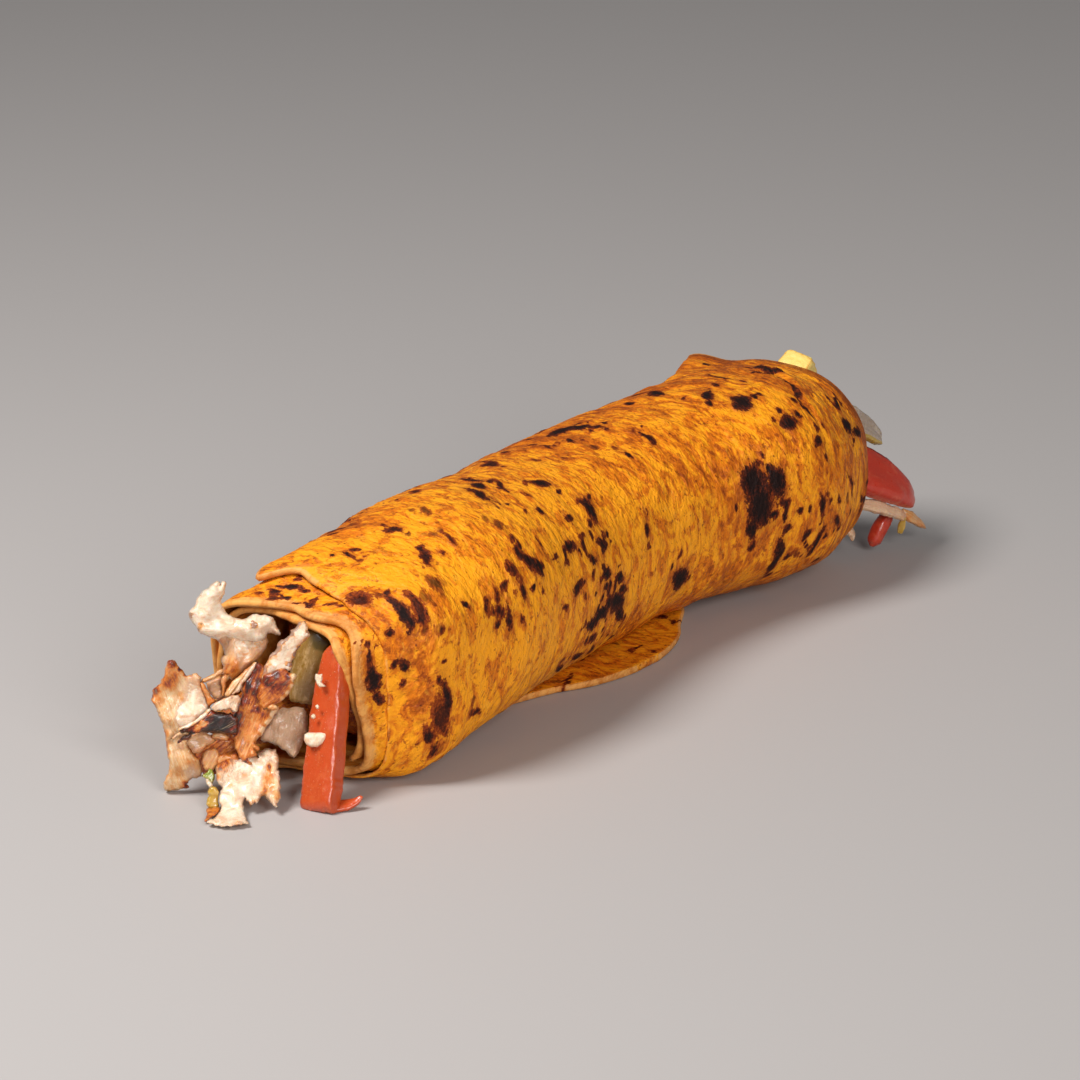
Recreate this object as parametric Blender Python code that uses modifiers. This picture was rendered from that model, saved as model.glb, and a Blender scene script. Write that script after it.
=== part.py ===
"""Chicken doner wrap: a long sheet of thin flatbread rolled almost three turns round its filling.

The roll lies along X with its open, overflowing end at -X. The sheet's round end comes out from
under the roll towards -Y and lies flat. Sizes below are in millimetres on the roll's own layout;
ORIGIN_SHIFT moves them so that the origin is the bottom centre of the whole wrap.
"""
import math

import bmesh
import bpy
from mathutils import Vector

MM = 0.001
ORIGIN_SHIFT = Vector((8.6, 3.6, 0.0))

# The bread: one sheet, its plies one inside the other.
PLY = 1.8
PLY_PITCH = 2.45
MOUTH_SLACK = 0.13
SLACK_X = -107.0
SLACK_REACH = 12.0
TURNS = 2.875
STEPS_PER_TURN = 22
FLAP_LENGTH = 29.0
FLAP_STEPS = (1.2, 3.0, 5.5, 9.0, 14.0, 21.0)
OUTLINE_TURN = 0.65
MIDDLE_LIFT = 1.85
END_LIFT = -0.7
LIFT_CENTRE_X = -3.0
LIFT_FULL_TO = 58.0
LIFT_GONE_AT = 107.0

# Outline of the roll: place along X, half width, centre line's Y.
ROLL = (
    (-126, 25.2, 5.6), (-116, 25.7, 4.7), (-103, 28.8, -2.7), (-88, 30.4, -3.8), (-68, 32.1, -4.0),
    (-35, 30.8, -0.7), (0, 30.1, 2.2), (38, 30.9, -0.6), (75, 32.4, -8.6), (105, 31.0, -3.0),
    (112, 30.6, -1.6),
)
HEIGHT_TO_WIDTH = 0.92
MOUTH_EXTRA_HEIGHT = 0.055
MOUTH_LENGTH = 40.0
ROUND_SQUARENESS = 2.3
MOUTH_SQUARENESS = 2.4
MOUTH_X = -116.0

# Where each turn of the sheet ends: turns from the flap's root, X of the near and the far edge.
EDGES = (
    (0.00, -57, 48), (0.10, -73, 62), (0.25, -89, 80), (0.40, -101, 93), (0.50, -107, 103),
    (0.60, -108, 106), (0.75, -108, 105), (0.90, -112, 105), (1.00, -116, 104), (1.25, -120, 102),
    (1.40, -123, 101), (1.50, -124, 101), (1.60, -121, 101), (1.75, -116.5, 101), (2.00, -116.5, 101),
    (2.25, -121, 99), (2.50, -120.5, 98), (2.75, -116, 98), (2.90, -115.5, 98),
)
FLAP_CENTRE_X = 2.0
FLAP_REACH = 46.0
FLAP_RISE = 17.0
ACROSS = (
    0, 0.03, 0.06, 0.09, 0.125, 0.165, 0.21, 0.27, 0.34, 0.42, 0.5, 0.58, 0.65, 0.71, 0.77, 0.83,
    0.89, 0.95, 1,
)

# The torn corner of the outer ply that stands off the roll at the far end.
CORNER_TURN = 0.375
CORNER_TORN_WIDTH = 0.02
CORNER_FAIR_WIDTH = 0.08
CORNER_LENGTH = 15.0
CORNER_RISE = 6.0

# Nothing is lower than the surface that the wrap lies on.
FLOOR_GAP = 0.15

# The filling that runs through, inside the innermost ply.
CORE_INSET = 9.0
CORE_NEAR_X = -104.5
CORE_FAR_X = 95.5
CORE_STATIONS = 12
CORE_SIDES = 16
CORE_BULGE = 2.0

# Flat and rounded pieces: rows are X, Y, Z, half width and half thickness.
TOMATO_STRIP = (
    (-117.8, -9.8, 38.6, 1.4, 1.2), (-119.4, -10.2, 33.8, 4.0, 2.4), (-121.0, -10.3, 27.5, 4.7, 3.0),
    (-124.0, -11.4, 20.0, 5.2, 3.1), (-127.5, -12.6, 11.5, 5.5, 3.1), (-131.2, -14.0, 3.0, 5.8, 3.0),
    (-132.6, -14.6, 0.0, 5.8, 2.6),
)
PICKLE_SLICE = (
    (-108.0, -2.9, 37.2, 4.0, 1.7), (-113.0, -2.4, 38.2, 3.8, 1.9), (-116.0, -0.7, 33.6, 4.4, 1.9),
    (-117.6, 0.6, 27.1, 4.3, 1.9), (-118.6, 1.2, 21.6, 3.0, 1.6),
)
CHARRED_PIECE = (
    (-123.6, -4.6, 45.0, 1.2, 1.0), (-125.6, -1.6, 40.0, 2.5, 2.0), (-128.0, 1.2, 33.9, 4.2, 2.4),
    (-131.0, 3.5, 27.0, 5.3, 2.7), (-133.4, 5.3, 20.1, 4.7, 2.5), (-135.4, 5.8, 14.8, 2.8, 1.7),
    (-136.8, 4.4, 11.9, 0.9, 0.8),
)
CHARRED_STRIP = (
    (-147.2, 20.4, 15.6, 0.9, 0.8), (-144.8, 17.0, 18.6, 2.2, 1.4), (-141.4, 12.8, 21.2, 2.8, 1.8),
    (-138.8, 9.4, 23.2, 2.2, 1.5),
)
FAN_PIECE = (
    (-141.0, 25.4, 35.6, 1.8, 0.9), (-142.2, 22.8, 28.6, 7.4, 1.7), (-142.6, 21.2, 22.5, 7.0, 2.0),
    (-142.2, 20.6, 15.8, 5.8, 2.0), (-141.2, 21.0, 9.4, 5.6, 2.0), (-140.2, 22.4, 2.6, 6.4, 1.9),
    (-139.9, 23.0, 0.2, 6.2, 1.4),
)
SAUCY_TOP = (
    (-130.5, 18.0, 54.2, 1.6, 1.5), (-131.0, 20.8, 49.6, 3.4, 3.0), (-131.2, 20.8, 44.4, 4.7, 4.0),
    (-128.0, 14.8, 40.6, 4.4, 4.0), (-122.0, 9.2, 39.6, 3.0, 3.0), (-114.0, 6.4, 37.2, 2.2, 2.2),
)
SAUCY_MIDDLE = (
    (-108.2, 12.4, 32.8, 3.9, 3.4), (-116.0, 14.2, 32.0, 4.4, 3.8), (-125.0, 16.2, 30.4, 4.0, 3.2),
    (-130.4, 16.6, 26.2, 2.4, 2.0),
)
SAUCY_LOW = (
    (-131.5, 6.7, 11.7, 3.8, 2.2), (-136.4, 4.8, 7.6, 5.6, 2.8), (-142.6, 3.0, 4.8, 5.4, 2.8),
    (-147.8, 3.2, 1.8, 4.8, 2.2), (-150.4, 3.4, 0.4, 3.8, 1.2),
)
SAUCY_LOW_TIP = (
    (-130.0, -0.4, 10.6, 2.2, 1.6), (-134.4, -2.6, 7.6, 2.4, 1.7), (-137.6, -4.6, 4.4, 2.0, 1.4),
    (-139.2, -5.6, 1.4, 0.8, 0.7),
)
GREY_PIECE = (
    (-118.0, 3.2, 16.0, 3.4, 3.0), (-123.4, 2.0, 16.6, 4.8, 3.0), (-126.2, 0.2, 12.2, 3.2, 2.2),
    (-127.6, -1.2, 8.8, 1.0, 1.0),
)
SHRED_UPPER = (
    (-137.2, 16.6, 31.0, 0.9, 0.7), (-134.0, 13.2, 30.2, 1.3, 1.0), (-131.6, 10.4, 27.0, 1.2, 0.9),
)
SHRED_LOWER = (
    (-137.6, 14.8, 26.0, 0.9, 0.7), (-135.4, 12.0, 24.6, 1.4, 1.0), (-133.4, 9.8, 25.2, 0.9, 0.8),
)
INNER_PIECE = (
    (-108.0, 12.4, 17.0, 7.0, 5.3), (-114.0, 13.0, 17.0, 7.4, 5.6), (-124.0, 14.0, 16.0, 7.0, 5.0),
    (-131.0, 13.6, 14.0, 5.0, 3.4), (-134.6, 13.0, 12.0, 2.0, 1.6),
)
FAR_TOMATO_WEDGE = (
    (99.4, -19.0, 28.2, 7.7, 3.2), (103.0, -21.9, 28.7, 7.9, 3.2), (108.0, -26.4, 27.8, 7.8, 3.4),
    (115.0, -31.6, 24.2, 6.8, 3.0), (122.0, -34.6, 18.8, 4.4, 2.2), (127.0, -35.6, 14.2, 1.8, 1.0),
)
FAR_PICKLE_SLAB = (
    (99.4, -17.8, 40.6, 5.3, 1.7), (103.0, -20.4, 41.3, 5.5, 1.7), (108.0, -23.6, 41.4, 5.6, 1.7),
    (114.0, -25.6, 38.8, 4.3, 1.6), (119.0, -27.0, 35.0, 3.1, 1.5), (121.6, -27.8, 32.9, 1.8, 1.2),
)
FAR_STRIP = (
    (99.2, -19.8, 17.4, 1.6, 1.2), (103.0, -23.5, 17.8, 1.6, 1.3), (109.6, -30.4, 17.4, 1.5, 1.2),
    (116.0, -33.6, 14.2, 1.7, 1.3), (122.6, -35.4, 10.6, 1.2, 1.0),
)
FAR_SHRED = (
    (124.4, -35.0, 11.0, 1.3, 1.0), (129.0, -35.1, 8.0, 1.1, 0.9), (134.0, -35.7, 4.4, 0.5, 0.5),
)
FAR_CORE_PIECE = (
    (99.6, 1.8, 25.8, 9.6, 7.6), (101.8, 1.5, 25.5, 9.0, 7.0), (104.0, 1.0, 25.0, 7.6, 6.0),
    (107.4, 0.4, 24.4, 3.4, 3.0),
)

# Towards the viewer's side of the near mouth, and of the far one.
NEAR_FACE = Vector((-0.78, -0.53, 0.33))
FAR_FACE = Vector((0.25, -0.9, 0.35))
UP_FACE = Vector((-0.2, -0.35, 0.92))

# Chunks: centre, size and turn in degrees.
FAR_FRY = ((107.4, -6.1, 49.7), (16.0, 9.2, 8.4), (12.0, -38.0, -6.0))
FAR_TOMATO_BIT = ((118.6, -29.0, 7.4), (6.4, 6.0, 9.6), (24.0, 16.0, 0.0))
FAR_PICKLE_BIT = ((124.2, -33.4, 6.4), (2.4, 2.2, 3.0), (0.0, 20.0, 30.0))
NEAR_PICKLE_BIT = ((-148.2, 9.6, 2.8), (3.0, 3.0, 4.4), (10.0, 15.0, 20.0))
NEAR_HERB = ((-144.2, 12.6, 8.4), (2.6, 1.2, 2.8), (0.0, 30.0, -30.0))

BREAD = ("bread", (0.82, 0.35, 0.04), 0.62)
MEAT = ("chicken", (0.50, 0.30, 0.18), 0.55)
BROWNED = ("browned chicken", (0.27, 0.09, 0.03), 0.5)
SAUCED = ("sauced chicken", (0.76, 0.58, 0.48), 0.35)
TOMATO = ("tomato", (0.62, 0.06, 0.03), 0.25)
PICKLE = ("pickle", (0.27, 0.24, 0.07), 0.3)
POTATO = ("potato", (0.83, 0.58, 0.18), 0.5)


def clamp(value, low=0.0, high=1.0):
    return max(low, min(high, value))


def ease(value):
    value = clamp(value)
    return value * value * (3 - 2 * value)


def smooth_row(rows, at):
    """Read a table of rows at a place, on a smooth curve through its rows."""
    last = len(rows) - 2
    index = 0
    while index < last and at > rows[index + 1][0]:
        index += 1
    before, start = rows[max(index - 1, 0)], rows[index]
    end, after = rows[index + 1], rows[min(index + 2, last + 1)]
    span = end[0] - start[0]
    t = clamp((at - start[0]) / span)
    values = []
    for column in range(1, len(start)):
        leave = (end[column] - before[column]) / (end[0] - before[0]) * span
        arrive = (after[column] - start[column]) / (after[0] - start[0]) * span
        values.append(
            start[column] * (1 + 2 * t) * (1 - t) ** 2 + leave * t * (1 - t) ** 2
            + end[column] * t * t * (3 - 2 * t) - arrive * t * t * (1 - t))
    return values


def lift(x):
    away = abs(x - LIFT_CENTRE_X) - LIFT_FULL_TO
    return MIDDLE_LIFT + (END_LIFT - MIDDLE_LIFT) * ease(away / (LIFT_GONE_AT - LIFT_FULL_TO))


def section(x):
    """Half width, half height, centre Y, centre Z and squareness of the roll at X."""
    half_width, centre_y = smooth_row(ROLL, x)
    mouth = 1 - clamp((x - MOUTH_X) / MOUTH_LENGTH)
    half_height = half_width * (HEIGHT_TO_WIDTH + MOUTH_EXTRA_HEIGHT * mouth)
    squareness = ROUND_SQUARENESS + MOUTH_SQUARENESS * mouth ** 1.5
    return half_width, half_height, centre_y, lift(x) + half_height, squareness


def ring_point(x, turn, inset):
    """Point of the roll's outline at X, a part of a turn on from the bottom, moved inwards."""
    half_width, half_height, centre_y, centre_z, squareness = section(x)
    angle = 2 * math.pi * turn
    side, down = math.sin(angle), math.cos(angle)
    reach = (abs(side) / (half_width - inset)) ** squareness
    reach += (abs(down) / (half_height - inset)) ** squareness
    radius = reach ** (-1 / squareness)
    return Vector((x, centre_y + radius * side, centre_z - radius * down))


def corner_rise(turn, x, far_x):
    along = clamp((x - far_x + CORNER_LENGTH) / CORNER_LENGTH)
    width = CORNER_TORN_WIDTH if turn < CORNER_TURN else CORNER_FAIR_WIDTH
    around = (turn - CORNER_TURN) / width
    return CORNER_RISE * along ** 2 * math.exp(-around * around)


def ply_pitch(x):
    """Room from one ply to the next, more where the mouth narrows and the plies lean."""
    away = (x - SLACK_X) / SLACK_REACH
    return PLY_PITCH * (1 + MOUTH_SLACK * math.exp(-away * away))


def wrapped_point(turn, across):
    near_x, far_x = smooth_row(EDGES, turn)
    x = near_x + (far_x - near_x) * across
    inset = ply_pitch(x) * (turn - OUTLINE_TURN) - corner_rise(turn, x, far_x)
    return ring_point(x, turn, inset)


def flap_point(reach, across):
    """Point of the round end that lies flat in front of the roll; reach is from its tip."""
    half = FLAP_REACH * (1 - math.exp(-reach / FLAP_RISE)) ** 0.62
    root_near, root_far = smooth_row(EDGES, 0.0)
    blend = ease((reach - 10) / (FLAP_LENGTH - 10))
    near_x = (FLAP_CENTRE_X - half) * (1 - blend) + root_near * blend
    far_x = (FLAP_CENTRE_X + half) * (1 - blend) + root_far * blend
    root = ring_point(near_x + (far_x - near_x) * across, 0.0, -PLY_PITCH * OUTLINE_TURN)
    return root - Vector((0, FLAP_LENGTH - reach, 0))


def new_material(finish):
    name, colour, roughness = finish
    material = bpy.data.materials.get(name)
    if material is None:
        material = bpy.data.materials.new(name)
        material.use_nodes = True
        shader = material.node_tree.nodes["Principled BSDF"]
        shader.inputs["Base Color"].default_value = (*colour, 1)
        shader.inputs["Roughness"].default_value = roughness
        shader.inputs["Metallic"].default_value = 0.0
    return material


def add_object(name, build, finish, collection):
    """Make an object from a bmesh whose points are in millimetres on the roll's layout."""
    for vertex in build.verts:
        vertex.co = (vertex.co + ORIGIN_SHIFT) * MM
    bmesh.ops.recalc_face_normals(build, faces=build.faces[:])
    mesh = bpy.data.meshes.new(name)
    build.to_mesh(mesh)
    build.free()
    mesh.materials.append(new_material(finish))
    mesh.shade_smooth()
    thing = bpy.data.objects.new(name, mesh)
    collection.objects.link(thing)
    return thing


def bridge(build, rings, closed):
    """Join rows of points, all of one length, into a grid; closed rows go round."""
    rows = [[build.verts.new(point) for point in ring] for ring in rings]
    count = len(rows[0])
    cells = count if closed else count - 1
    for row, following in zip(rows, rows[1:]):
        for index in range(cells):
            after = (index + 1) % count
            build.faces.new((row[index], row[after], following[after], following[index]))
    return rows


def make_flatbread(collection):
    """The sheet's outer side as one open grid, with its thickness added inwards."""
    rows = [[flap_point(reach, across) for across in ACROSS] for reach in FLAP_STEPS]
    for step in range(int(TURNS * STEPS_PER_TURN) + 1):
        rows.append([wrapped_point(step / STEPS_PER_TURN, across) for across in ACROSS])
    build = bmesh.new()
    bridge(build, rows, closed=False)
    bread = add_object("flatbread", build, BREAD, collection)
    flip_if_inwards(bread)
    wall = bread.modifiers.new("ply", "SOLIDIFY")
    wall.thickness = PLY * MM
    wall.offset = -1.0


def flip_if_inwards(thing):
    """The sheet's faces look down at the flap, away from the roll's middle."""
    mesh = thing.data
    mesh.update()
    if mesh.polygons[0].normal.z > 0:
        mesh.flip_normals()


def make_core(collection):
    build = bmesh.new()
    rings = []
    for station in range(CORE_STATIONS):
        x = CORE_NEAR_X + (CORE_FAR_X - CORE_NEAR_X) * station / (CORE_STATIONS - 1)
        rings.append([ring_point(x, side / CORE_SIDES, CORE_INSET) for side in range(CORE_SIDES)])
    rows = bridge(build, rings, closed=True)
    for row, way in ((rows[0], -1), (rows[-1], 1)):
        middle = sum((vertex.co for vertex in row), Vector()) / CORE_SIDES
        tip = build.verts.new(middle + Vector((way * CORE_BULGE, 0, 0)))
        for index, vertex in enumerate(row):
            build.faces.new((vertex, row[(index + 1) % CORE_SIDES], tip))
    add_object("chicken_filling", build, MEAT, collection)


def loft_piece(name, rows, face, finish, collection, sides=10, squareness=2.6):
    """A cut or torn piece: rounded sections along its rows, broad side towards face."""
    centres = [Vector(row[:3]) for row in rows]
    rings = []
    for index, row in enumerate(rows):
        along = centres[min(index + 1, len(rows) - 1)] - centres[max(index - 1, 0)]
        across = face.cross(along).normalized()
        through = along.cross(across).normalized()
        ring = []
        for side in range(sides):
            angle = 2 * math.pi * (side + 0.5) / sides
            wide, thick = math.cos(angle), math.sin(angle)
            wide = math.copysign(abs(wide) ** (2 / squareness), wide) * row[3]
            thick = math.copysign(abs(thick) ** (2 / squareness), thick) * row[4]
            point = centres[index] + across * wide + through * thick
            point.z = max(point.z, FLOOR_GAP)
            ring.append(point)
        rings.append(ring)
    build = bmesh.new()
    loops = bridge(build, rings, closed=True)
    build.faces.new(loops[0])
    build.faces.new(loops[-1])
    add_object(name, build, finish, collection)


def place_chunk(thing, name, chunk, finish, collection):
    """Put a primitive of unit size where its chunk says, as an object of its own."""
    centre, size, turn = chunk
    thing.name = name
    thing.scale = [length * MM for length in size]
    thing.location = (Vector(centre) + ORIGIN_SHIFT) * MM
    thing.rotation_euler = [math.radians(angle) for angle in turn]
    bpy.ops.object.transform_apply(location=False, rotation=False, scale=True)
    thing.data.materials.append(new_material(finish))
    for holder in thing.users_collection:
        holder.objects.unlink(thing)
    collection.objects.link(thing)


def cut_chunk(name, chunk, finish, collection, rounding):
    """A block with its edges rounded."""
    bpy.ops.mesh.primitive_cube_add(size=1)
    block = bpy.context.active_object
    place_chunk(block, name, chunk, finish, collection)
    bevel = block.modifiers.new("rounded edges", "BEVEL")
    bevel.width = rounding * MM
    bevel.segments = 2
    bevel.limit_method = "NONE"


def round_chunk(name, chunk, finish, collection):
    bpy.ops.mesh.primitive_uv_sphere_add(segments=12, ring_count=8, radius=0.5)
    ball = bpy.context.active_object
    place_chunk(ball, name, chunk, finish, collection)
    ball.data.shade_smooth()


def make_near_pieces(collection):
    """What spills from the near mouth, each piece leaning on the next."""
    loft_piece("tomato_strip", TOMATO_STRIP, NEAR_FACE, TOMATO, collection, squareness=3.2)
    loft_piece("pickle_slice", PICKLE_SLICE, NEAR_FACE, PICKLE, collection)
    loft_piece("chicken_charred", CHARRED_PIECE, NEAR_FACE, BROWNED, collection)
    loft_piece("chicken_charred_strip", CHARRED_STRIP, NEAR_FACE, BROWNED, collection, sides=8)
    loft_piece("chicken_fan", FAN_PIECE, NEAR_FACE, MEAT, collection)
    loft_piece("chicken_saucy_top", SAUCY_TOP, NEAR_FACE, SAUCED, collection, squareness=2)
    loft_piece("chicken_saucy_middle", SAUCY_MIDDLE, UP_FACE, SAUCED, collection, squareness=2)
    loft_piece("chicken_saucy_low", SAUCY_LOW, NEAR_FACE, SAUCED, collection, squareness=2)
    loft_piece("chicken_saucy_low_tip", SAUCY_LOW_TIP, NEAR_FACE, SAUCED, collection, sides=8)
    loft_piece("chicken_grey", GREY_PIECE, NEAR_FACE, MEAT, collection)
    loft_piece("chicken_shred_upper", SHRED_UPPER, NEAR_FACE, MEAT, collection, sides=6)
    loft_piece("chicken_shred_lower", SHRED_LOWER, NEAR_FACE, MEAT, collection, sides=6)
    loft_piece("chicken_inner", INNER_PIECE, UP_FACE, MEAT, collection, squareness=2)
    cut_chunk("pickle_bit_near", NEAR_PICKLE_BIT, PICKLE, collection, 0.8)
    cut_chunk("herb_near", NEAR_HERB, PICKLE, collection, 0.3)


def make_far_pieces(collection):
    """What shows past the far rim."""
    loft_piece("tomato_wedge_far", FAR_TOMATO_WEDGE, FAR_FACE, TOMATO, collection)
    loft_piece("pickle_slab_far", FAR_PICKLE_SLAB, FAR_FACE, PICKLE, collection)
    loft_piece("chicken_strip_far", FAR_STRIP, FAR_FACE, SAUCED, collection, sides=8)
    loft_piece("chicken_shred_far", FAR_SHRED, FAR_FACE, MEAT, collection, sides=6)
    loft_piece("chicken_inner_far", FAR_CORE_PIECE, UP_FACE, MEAT, collection, squareness=2)
    cut_chunk("fry_far", FAR_FRY, POTATO, collection, 1.2)
    round_chunk("tomato_bit_far", FAR_TOMATO_BIT, TOMATO, collection)
    cut_chunk("pickle_bit_far", FAR_PICKLE_BIT, PICKLE, collection, 0.6)


for old in list(bpy.data.objects):
    bpy.data.objects.remove(old, do_unlink=True)
wrap = bpy.data.collections.new("doner_wrap")
bpy.context.scene.collection.children.link(wrap)
make_flatbread(wrap)
make_core(wrap)
make_near_pieces(wrap)
make_far_pieces(wrap)
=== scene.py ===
"""Looks of a chicken doner wrap: one long sheet of thin baked flatbread rolled almost three turns
round grilled chicken, tomato, pickle and fried potato.

Shapes are worked out in millimetres on the roll's own layout, with the roll along X, and each
finished piece is put at ORIGIN_SHIFT from it, in metres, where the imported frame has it.
"""
import math

import bmesh
import bpy
import numpy as np
from mathutils import Euler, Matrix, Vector
from mathutils.geometry import delaunay_2d_cdt


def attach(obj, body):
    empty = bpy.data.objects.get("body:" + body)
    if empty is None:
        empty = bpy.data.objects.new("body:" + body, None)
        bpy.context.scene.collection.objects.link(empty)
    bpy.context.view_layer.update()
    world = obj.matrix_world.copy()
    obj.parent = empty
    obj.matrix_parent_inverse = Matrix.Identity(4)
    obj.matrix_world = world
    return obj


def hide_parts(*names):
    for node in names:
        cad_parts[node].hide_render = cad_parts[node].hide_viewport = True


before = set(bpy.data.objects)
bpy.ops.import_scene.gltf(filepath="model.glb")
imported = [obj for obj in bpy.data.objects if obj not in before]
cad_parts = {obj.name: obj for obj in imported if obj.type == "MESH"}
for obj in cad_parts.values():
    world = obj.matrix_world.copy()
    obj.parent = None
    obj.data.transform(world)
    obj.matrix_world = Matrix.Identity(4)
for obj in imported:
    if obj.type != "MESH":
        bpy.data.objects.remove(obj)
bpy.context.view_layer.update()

# ---------------------------------------------------------------------------------------------
# The stand: a plain pale floor under the wrap, one large soft light high on its left, a weaker
# one from the viewer's side, and an even grey room. The camera stands at the open end.
MM = 0.001
FLOOR_SIZE = 6.0
FLOOR_COLOUR = (0.47, 0.435, 0.415, 1)
ROOM_COLOUR = (0.93, 0.96, 1.0, 1)
ROOM_STRENGTH = 0.13
KEY_LIGHT = {"way": (-0.75, 0.32, 1.05), "distance": 1.1, "size": 0.42, "power": 12.2}
FRONT_LIGHT = {"way": (-0.62, -0.95, 0.55), "distance": 2.2, "size": 1.0, "power": 26.0}
CAMERA_AIM = Vector((0.0139, 0.0147, 0.0283))
CAMERA_DISTANCE = 1.55
CAMERA_RISE = math.radians(19.0)
CAMERA_TURN = math.radians(56.0)
CAMERA_LENS = 189.1


def add_floor():
    bpy.ops.mesh.primitive_plane_add(size=FLOOR_SIZE)
    floor = bpy.context.active_object
    floor.name = "floor"
    material = bpy.data.materials.new("floor")
    material.use_nodes = True
    shader = material.node_tree.nodes["Principled BSDF"]
    shader.inputs["Base Color"].default_value = FLOOR_COLOUR
    shader.inputs["Roughness"].default_value = 0.6
    floor.data.materials.append(material)


def add_light(name, way, distance, size, power):
    light = bpy.data.lights.new(name, "AREA")
    light.shape = "DISK"
    light.size = size
    light.energy = power
    holder = bpy.data.objects.new(name, light)
    direction = Vector(way).normalized()
    holder.location = CAMERA_AIM + direction * distance
    holder.rotation_euler = direction.to_track_quat("Z", "Y").to_euler()
    bpy.context.scene.collection.objects.link(holder)


def add_camera():
    forward = Vector((math.sin(CAMERA_TURN) * math.cos(CAMERA_RISE),
                      math.cos(CAMERA_TURN) * math.cos(CAMERA_RISE),
                      -math.sin(CAMERA_RISE)))
    camera = bpy.data.objects.new("camera", bpy.data.cameras.new("camera"))
    camera.data.lens = CAMERA_LENS
    camera.data.clip_end = 20.0
    camera.location = CAMERA_AIM - forward * CAMERA_DISTANCE
    camera.rotation_euler = forward.to_track_quat("-Z", "Y").to_euler()
    bpy.context.scene.collection.objects.link(camera)
    bpy.context.scene.camera = camera


def add_room():
    world = bpy.data.worlds.new("room")
    world.use_nodes = True
    background = world.node_tree.nodes["Background"]
    background.inputs["Color"].default_value = ROOM_COLOUR
    background.inputs["Strength"].default_value = ROOM_STRENGTH
    bpy.context.scene.world = world
    bpy.context.scene.view_settings.view_transform = "Standard"


add_floor()
add_light("key_light", **KEY_LIGHT)
add_light("front_light", **FRONT_LIGHT)
add_camera()
add_room()

# ---------------------------------------------------------------------------------------------
# The flatbread: one sheet of thin wheat bread, baked on a hot plate and pressed again once
# rolled. It is a slab that follows the roll's spiral, with rounded rims, wavy edges, blisters
# and scorch marks. The outer turn and the hidden turns are two pieces of the same sheet.
ORIGIN_SHIFT = np.array((8.6, 3.6, 0.0))
PLY = 1.8
PLY_PITCH = 2.45
MOUTH_SLACK = 0.13
SLACK_X = -107.0
SLACK_REACH = 12.0
OUTLINE_TURN = 0.65
TURNS = 2.875
AROUND = 187.0
FLAP_LENGTH = 29.0
FLAP_TIP = 0.5
FLAP_CENTRE_X = 2.0
FLAP_REACH = 46.0
FLAP_RISE = 17.0
MIDDLE_LIFT = 1.85
END_LIFT = -0.7
LIFT_CENTRE_X = -3.0
LIFT_FULL_TO = 58.0
LIFT_GONE_AT = 107.0
HEIGHT_TO_WIDTH = 0.92
MOUTH_EXTRA_HEIGHT = 0.055
MOUTH_LENGTH = 40.0
MOUTH_X = -116.0
ROUND_SQUARENESS = 2.3
MOUTH_SQUARENESS = 2.4

# Place along X, half width, centre line's Y.
ROLL = (
    (-126, 25.2, 5.6), (-116, 25.7, 4.7), (-103, 28.8, -2.7), (-88, 30.4, -3.8), (-68, 32.1, -4.0),
    (-35, 30.8, -0.7), (0, 30.1, 2.2), (38, 30.9, -0.6), (75, 32.4, -8.6), (105, 31.0, -3.0),
    (112, 30.6, -1.6),
)
# Turns from the flap's root, X of the near and the far edge there.
EDGES = (
    (0.00, -57, 48), (0.10, -73, 62), (0.25, -89, 80), (0.34, -99, 88), (0.385, -107, 92.6),
    (0.410, -112.4, 94.2), (0.425, -109.6, 95.2), (0.440, -108, 98.2), (0.455, -108, 102),
    (0.480, -109.2, 104), (0.51, -110.2, 105), (0.55, -111.6, 106), (0.58, -113.4, 106),
    (0.62, -114.5, 106), (0.68, -113.5, 105.5), (0.76, -113, 105), (0.84, -112.6, 105),
    (0.92, -113.6, 105), (1.00, -116, 104), (1.25, -119, 102), (1.385, -121, 101), (1.42, -119.4, 101),
    (1.46, -117.6, 101), (1.50, -117, 101), (1.56, -118, 101), (1.60, -116.6, 101), (1.66, -119, 101),
    (1.74, -118.4, 101), (1.80, -116.6, 101), (1.88, -115, 101), (2.00, -116.5, 101),
    (2.25, -121, 99), (2.42, -117, 98.5), (2.52, -117.6, 98), (2.60, -119.4, 98),
    (2.64, -121.2, 98), (2.70, -118.8, 98), (2.80, -116, 98), (2.90, -115.5, 98),
)


def ease(value):
    value = np.clip(value, 0, 1)
    return value * value * (3 - 2 * value)


def unit(vectors):
    return vectors / np.maximum(np.linalg.norm(vectors, axis=-1, keepdims=True), 1e-9)


def read_table(rows, at):
    """Read a table at many places, on a smooth curve through its rows."""
    rows = np.array(rows, float)
    at = np.asarray(at, float)
    index = np.clip(np.searchsorted(rows[:, 0], at) - 1, 0, len(rows) - 2)
    before, start = rows[np.maximum(index - 1, 0)], rows[index]
    end, after = rows[index + 1], rows[np.minimum(index + 2, len(rows) - 1)]
    span = (end - start)[..., :1]
    t = np.clip((at[..., None] - start[..., :1]) / span, 0, 1)
    leave = (end - before)[..., 1:] / (end - before)[..., :1] * span
    arrive = (after - start)[..., 1:] / (after - start)[..., :1] * span
    return (start[..., 1:] * (1 + 2 * t) * (1 - t) ** 2 + leave * t * (1 - t) ** 2
            + end[..., 1:] * t * t * (3 - 2 * t) - arrive * t * t * (1 - t))


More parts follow.
